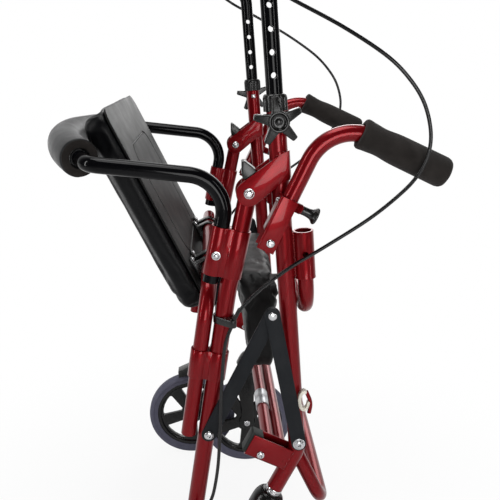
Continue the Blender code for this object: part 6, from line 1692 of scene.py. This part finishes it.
def puffUp(piece, held):
    applyModifier(piece, "REMESH", mode="VOXEL", voxel_size=seat["voxel"])
    start = [vertex.co.copy() for vertex in piece.data.vertices]
    group = piece.vertex_groups.new(name="held")
    for vertex in piece.data.vertices:
        if held(vertex.co):
            group.add([vertex.index], 1.0, "REPLACE")
    pickOnly(piece)
    cloth = piece.modifiers.new("Cloth", "CLOTH")
    cloth.settings.quality = 5
    cloth.settings.vertex_group_mass = "held"
    cloth.settings.use_pressure = True
    cloth.settings.uniform_pressure_force = seat["pressure"]
    cloth.settings.effector_weights.gravity = 0.0
    cloth.point_cache.frame_end = seat["frames"]
    for step in range(1, seat["frames"] + 1):
        bpy.context.scene.frame_set(step)
    bpy.ops.object.modifier_apply(modifier=cloth.name)
    bpy.context.scene.frame_set(1)
    for vertex, before in zip(piece.data.vertices, start):
        moved = vertex.co - before
        if moved.length > seat["cap"]:
            vertex.co = before + moved * (seat["cap"] / moved.length)
    piece.vertex_groups.clear()


def cushionBlock(base, top):  # rings of (inset from the board's edge, height), widest below the middle
    rings = ((0.0060, base), (0.0016, base + 0.0050), (0.0008, base + 0.0150), (0.0012, top - 0.0150),
             (0.0060, top - 0.0070), (0.0200, top - 0.0040), (0.0700, top - 0.0010))
    footInset, (inset, height) = rings[0][0], rings[1]
    block = plate(seatOutline(footInset, seat["cushionCorner"]), seatCentre, seatUp, sideways, seatPad, base,
                  height)
    growA, growB = ((seat[key] - inset) / (seat[key] - footInset) for key in ("halfDepth", "halfWidth"))
    for vertex in block.data.vertices:
        a, b, depth = seatOffset(vertex.co)
        if depth > base + 0.001:
            vertex.co = seatCentre + seatUp * a * growA + sideways * b * growB + seatPad * depth
    editAll(block)
    bpy.ops.mesh.select_mode(type="FACE")
    bpy.ops.mesh.select_all(action="DESELECT")
    leaveEdit()
    for face in block.data.polygons:
        face.select = face.normal.dot(seatPad) > 0.99
    for nextInset, nextHeight in rings[2:]:
        pickOnly(block)
        bpy.ops.object.mode_set(mode="EDIT")
        scale = (seat["halfDepth"] - nextInset) / (seat["halfDepth"] - inset)
        bpy.ops.mesh.extrude_region_move(TRANSFORM_OT_translate={"value": seatPad * (nextHeight - height)})
        bpy.ops.transform.resize(value=(scale, scale, scale),
                                 center_override=seatCentre + seatPad * nextHeight)
        leaveEdit()
        inset, height = nextInset, nextHeight
    closeUp(block)
    return block


def buildCushion():
    base, top = seat["board"] + 0.0003, seat["top"]
    cushion = cushionBlock(base, top)
    puffUp(cushion, lambda place: seatOffset(place)[2] < base + 0.0030)
    for vertex in cushion.data.vertices:  # the sewn line pulls the top in, and the vinyl creases at the rim
        a, b, depth = seatOffset(vertex.co)
        if depth > top - 0.0100:
            inset = min(seat["halfDepth"] - abs(a), seat["halfWidth"] - abs(b)) - seat["seamInset"]
            line = math.exp(-(inset / seat["seamWidth"]) ** 2)
            crown = max(0.0, min(1.0, inset / seat["crownReach"])) * seat["crown"]
            vertex.co += seatPad * (crown - line * seat["seamDepth"])
        crease = noise.noise(Vector((a * 60, b * 60, depth * 160))) * seat["crease"]
        rimward = seatUp * (1 if a > 0 else -1) + sideways * (1 if b > 0 else -1)
        vertex.co += seatPad * crease * 0.5 + rimward * crease * 0.4
    clear = backrest["foamRadius"] + 0.0006
    for vertex in cushion.data.vertices:  # lies on the board, and gives way to the foam roll
        depth = seatOffset(vertex.co)[2]
        if depth < base:
            vertex.co += seatPad * (base - depth)
        if abs(vertex.co.y) < backrest["bowY"]:
            away = vertex.co - bowPoint(vertex.co.y)
            if away.length < clear:
                vertex.co += away.normalized() * (clear - away.length)
    applyModifier(cushion, "SUBSURF", levels=1, render_levels=1)
    place(cushion, "seatCushion", "seat", "vinylBlack", ("seat_cushion",), smooth=60)


# Shopping bag of crumpled nylon on two webbing loops

bag = {"centre": (0.0715, 0.0, 0.5000), "halfWidth": 0.1420, "halfHeight": 0.0830, "corner": 0.0300,
       "half": 0.0270, "voxel": 0.0042, "height": 0.1700, "rimAside": 0.0120, "rimHeight": 0.0900,
       "lean": 0.0800, "fold": 0.0050, "looseFold": 0.0045, "ridge": 0.0062, "sideRidge": 0.0045,
       "crumple": 0.0012, "sag": 0.0040, "ripple": 0.0026, "hemHalf": 0.1350, "hemAhead": 0.0235,
       "hemRise": 0.0720, "hemWave": 0.0030, "hemRadius": 0.0020, "straps": (-0.0900, 0.0900),
       "strapHalf": 0.0125, "strapThick": 0.0016, "tail": (0.0580, 0.0, 0.5620), "flapLength": 0.0520,
       "flapHalf": 0.0008}


def crumpled(place, centre):  # slack at the rim, fullest above the middle, folded along slanting creases
    across, rise = place.y, place.z - centre.z
    share = (place.x - centre.x) / bag["half"]
    rim = (max(0.0, 1 - (abs(across) / (bag["halfWidth"] + bag["rimAside"])) ** 9)
           * max(0.0, 1 - (abs(rise) / bag["rimHeight"]) ** 8))
    low = 1.0 - 0.30 * max(0.0, 0.4 - rise / bag["height"])
    loose = max(0.0, min(1.0, (rise + 0.010) / 0.045))  # the slack upper half is the most crumpled
    slant = noise.noise(Vector((across * 22 + rise * 16, rise * 30 - across * 9, share * 1.3)))
    fold = slant * (bag["fold"] + bag["looseFold"] * loose)
    ridge = 1 - abs(noise.noise(Vector((across * 38 + share * 2.0, rise * 46, 3.0 + share * 1.1)))) * 2.2
    crumple = noise.noise(place * 115.0) * bag["crumple"]
    sag = -bag["sag"] * (1 - (across / 0.15) ** 2) * max(0.0, 0.5 - rise / bag["height"])
    ripple = noise.noise(Vector((across * 30, 7.0 + share, rise * 5))) * bag["ripple"]
    endward = (1 if across > 0 else -1) * min(1.0, abs(across) / 0.13)
    return Vector((centre.x + share * bag["half"] * (0.70 + 0.30 * rim) * low + fold * (0.5 + 0.5 * loose)
                   + ridge * bag["ridge"] * loose + crumple - rise * bag["lean"],
                   across + (ridge * bag["sideRidge"] * loose + fold) * endward,
                   place.z + (sag + ripple)))


def buildBag():
    centre = spot(*bag["centre"])
    pouch = plate(roundedBox(bag["halfWidth"], bag["halfHeight"], bag["corner"], 8), centre, (0, 1, 0),
                  (0, 0, 1), (1, 0, 0), -bag["half"], bag["half"])
    applyModifier(pouch, "REMESH", mode="VOXEL", voxel_size=bag["voxel"])
    for vertex in pouch.data.vertices:
        vertex.co = crumpled(vertex.co, centre)
    applyModifier(pouch, "SMOOTH", factor=0.5, iterations=2)
    place(pouch, "bagPouch", "front_frame", "nylonBlack", ("bag",), smooth=70)
    hem = []
    for index in range(41):
        y = index * 2 * bag["hemHalf"] / 40 - bag["hemHalf"]
        hem.append(centre + Vector((bag["hemAhead"] - bag["lean"] * bag["hemRise"], y,
                                    bag["hemRise"] - bag["hemWave"] * math.cos(y * 40))))
    binding = bentTube(hem, bag["hemRadius"], 10)
    place(binding, "bagBinding", "front_frame", "nylonBlack", smooth=50)
    tube, tail = socketPoint(crossTubes["frontZ"], 0.0), spot(*bag["tail"])
    inner, thick, half = tubeRadius + 0.0006, bag["strapThick"], bag["strapHalf"]
    ring = ringOutline((tube.x, tube.z), inner + thick, 37, 162.0, -300.0)
    back = ringOutline((tube.x, tube.z), inner, 37, -138.0, 300.0)
    straps = []
    for y in bag["straps"]:
        strap = plate([(tail.x, tail.z + thick)] + ring + back + [(tail.x, tail.z)], (0, y, 0), (1, 0, 0),
                      (0, 0, 1), (0, 1, 0), -half, half)
        flap = plate([(-half, -bag["flapLength"]), (half, -bag["flapLength"]), (half, 0.0), (-half, 0.0)],
                     (tail.x - 0.0010, y, tail.z + 0.0010), (0, 1, 0), (0.05, 0, 1), (1, 0, 0),
                     -bag["flapHalf"], bag["flapHalf"])
        for piece in (strap, flap):
            roundEdges(piece, 0.0004, 2, 50)
            straps.append(piece)
    place(joinUp(straps), "bagStraps", "front_frame", "nylonBlack", smooth=40)


buildSeatBoard()
buildCushion()
buildBag()
print("seat and bag")
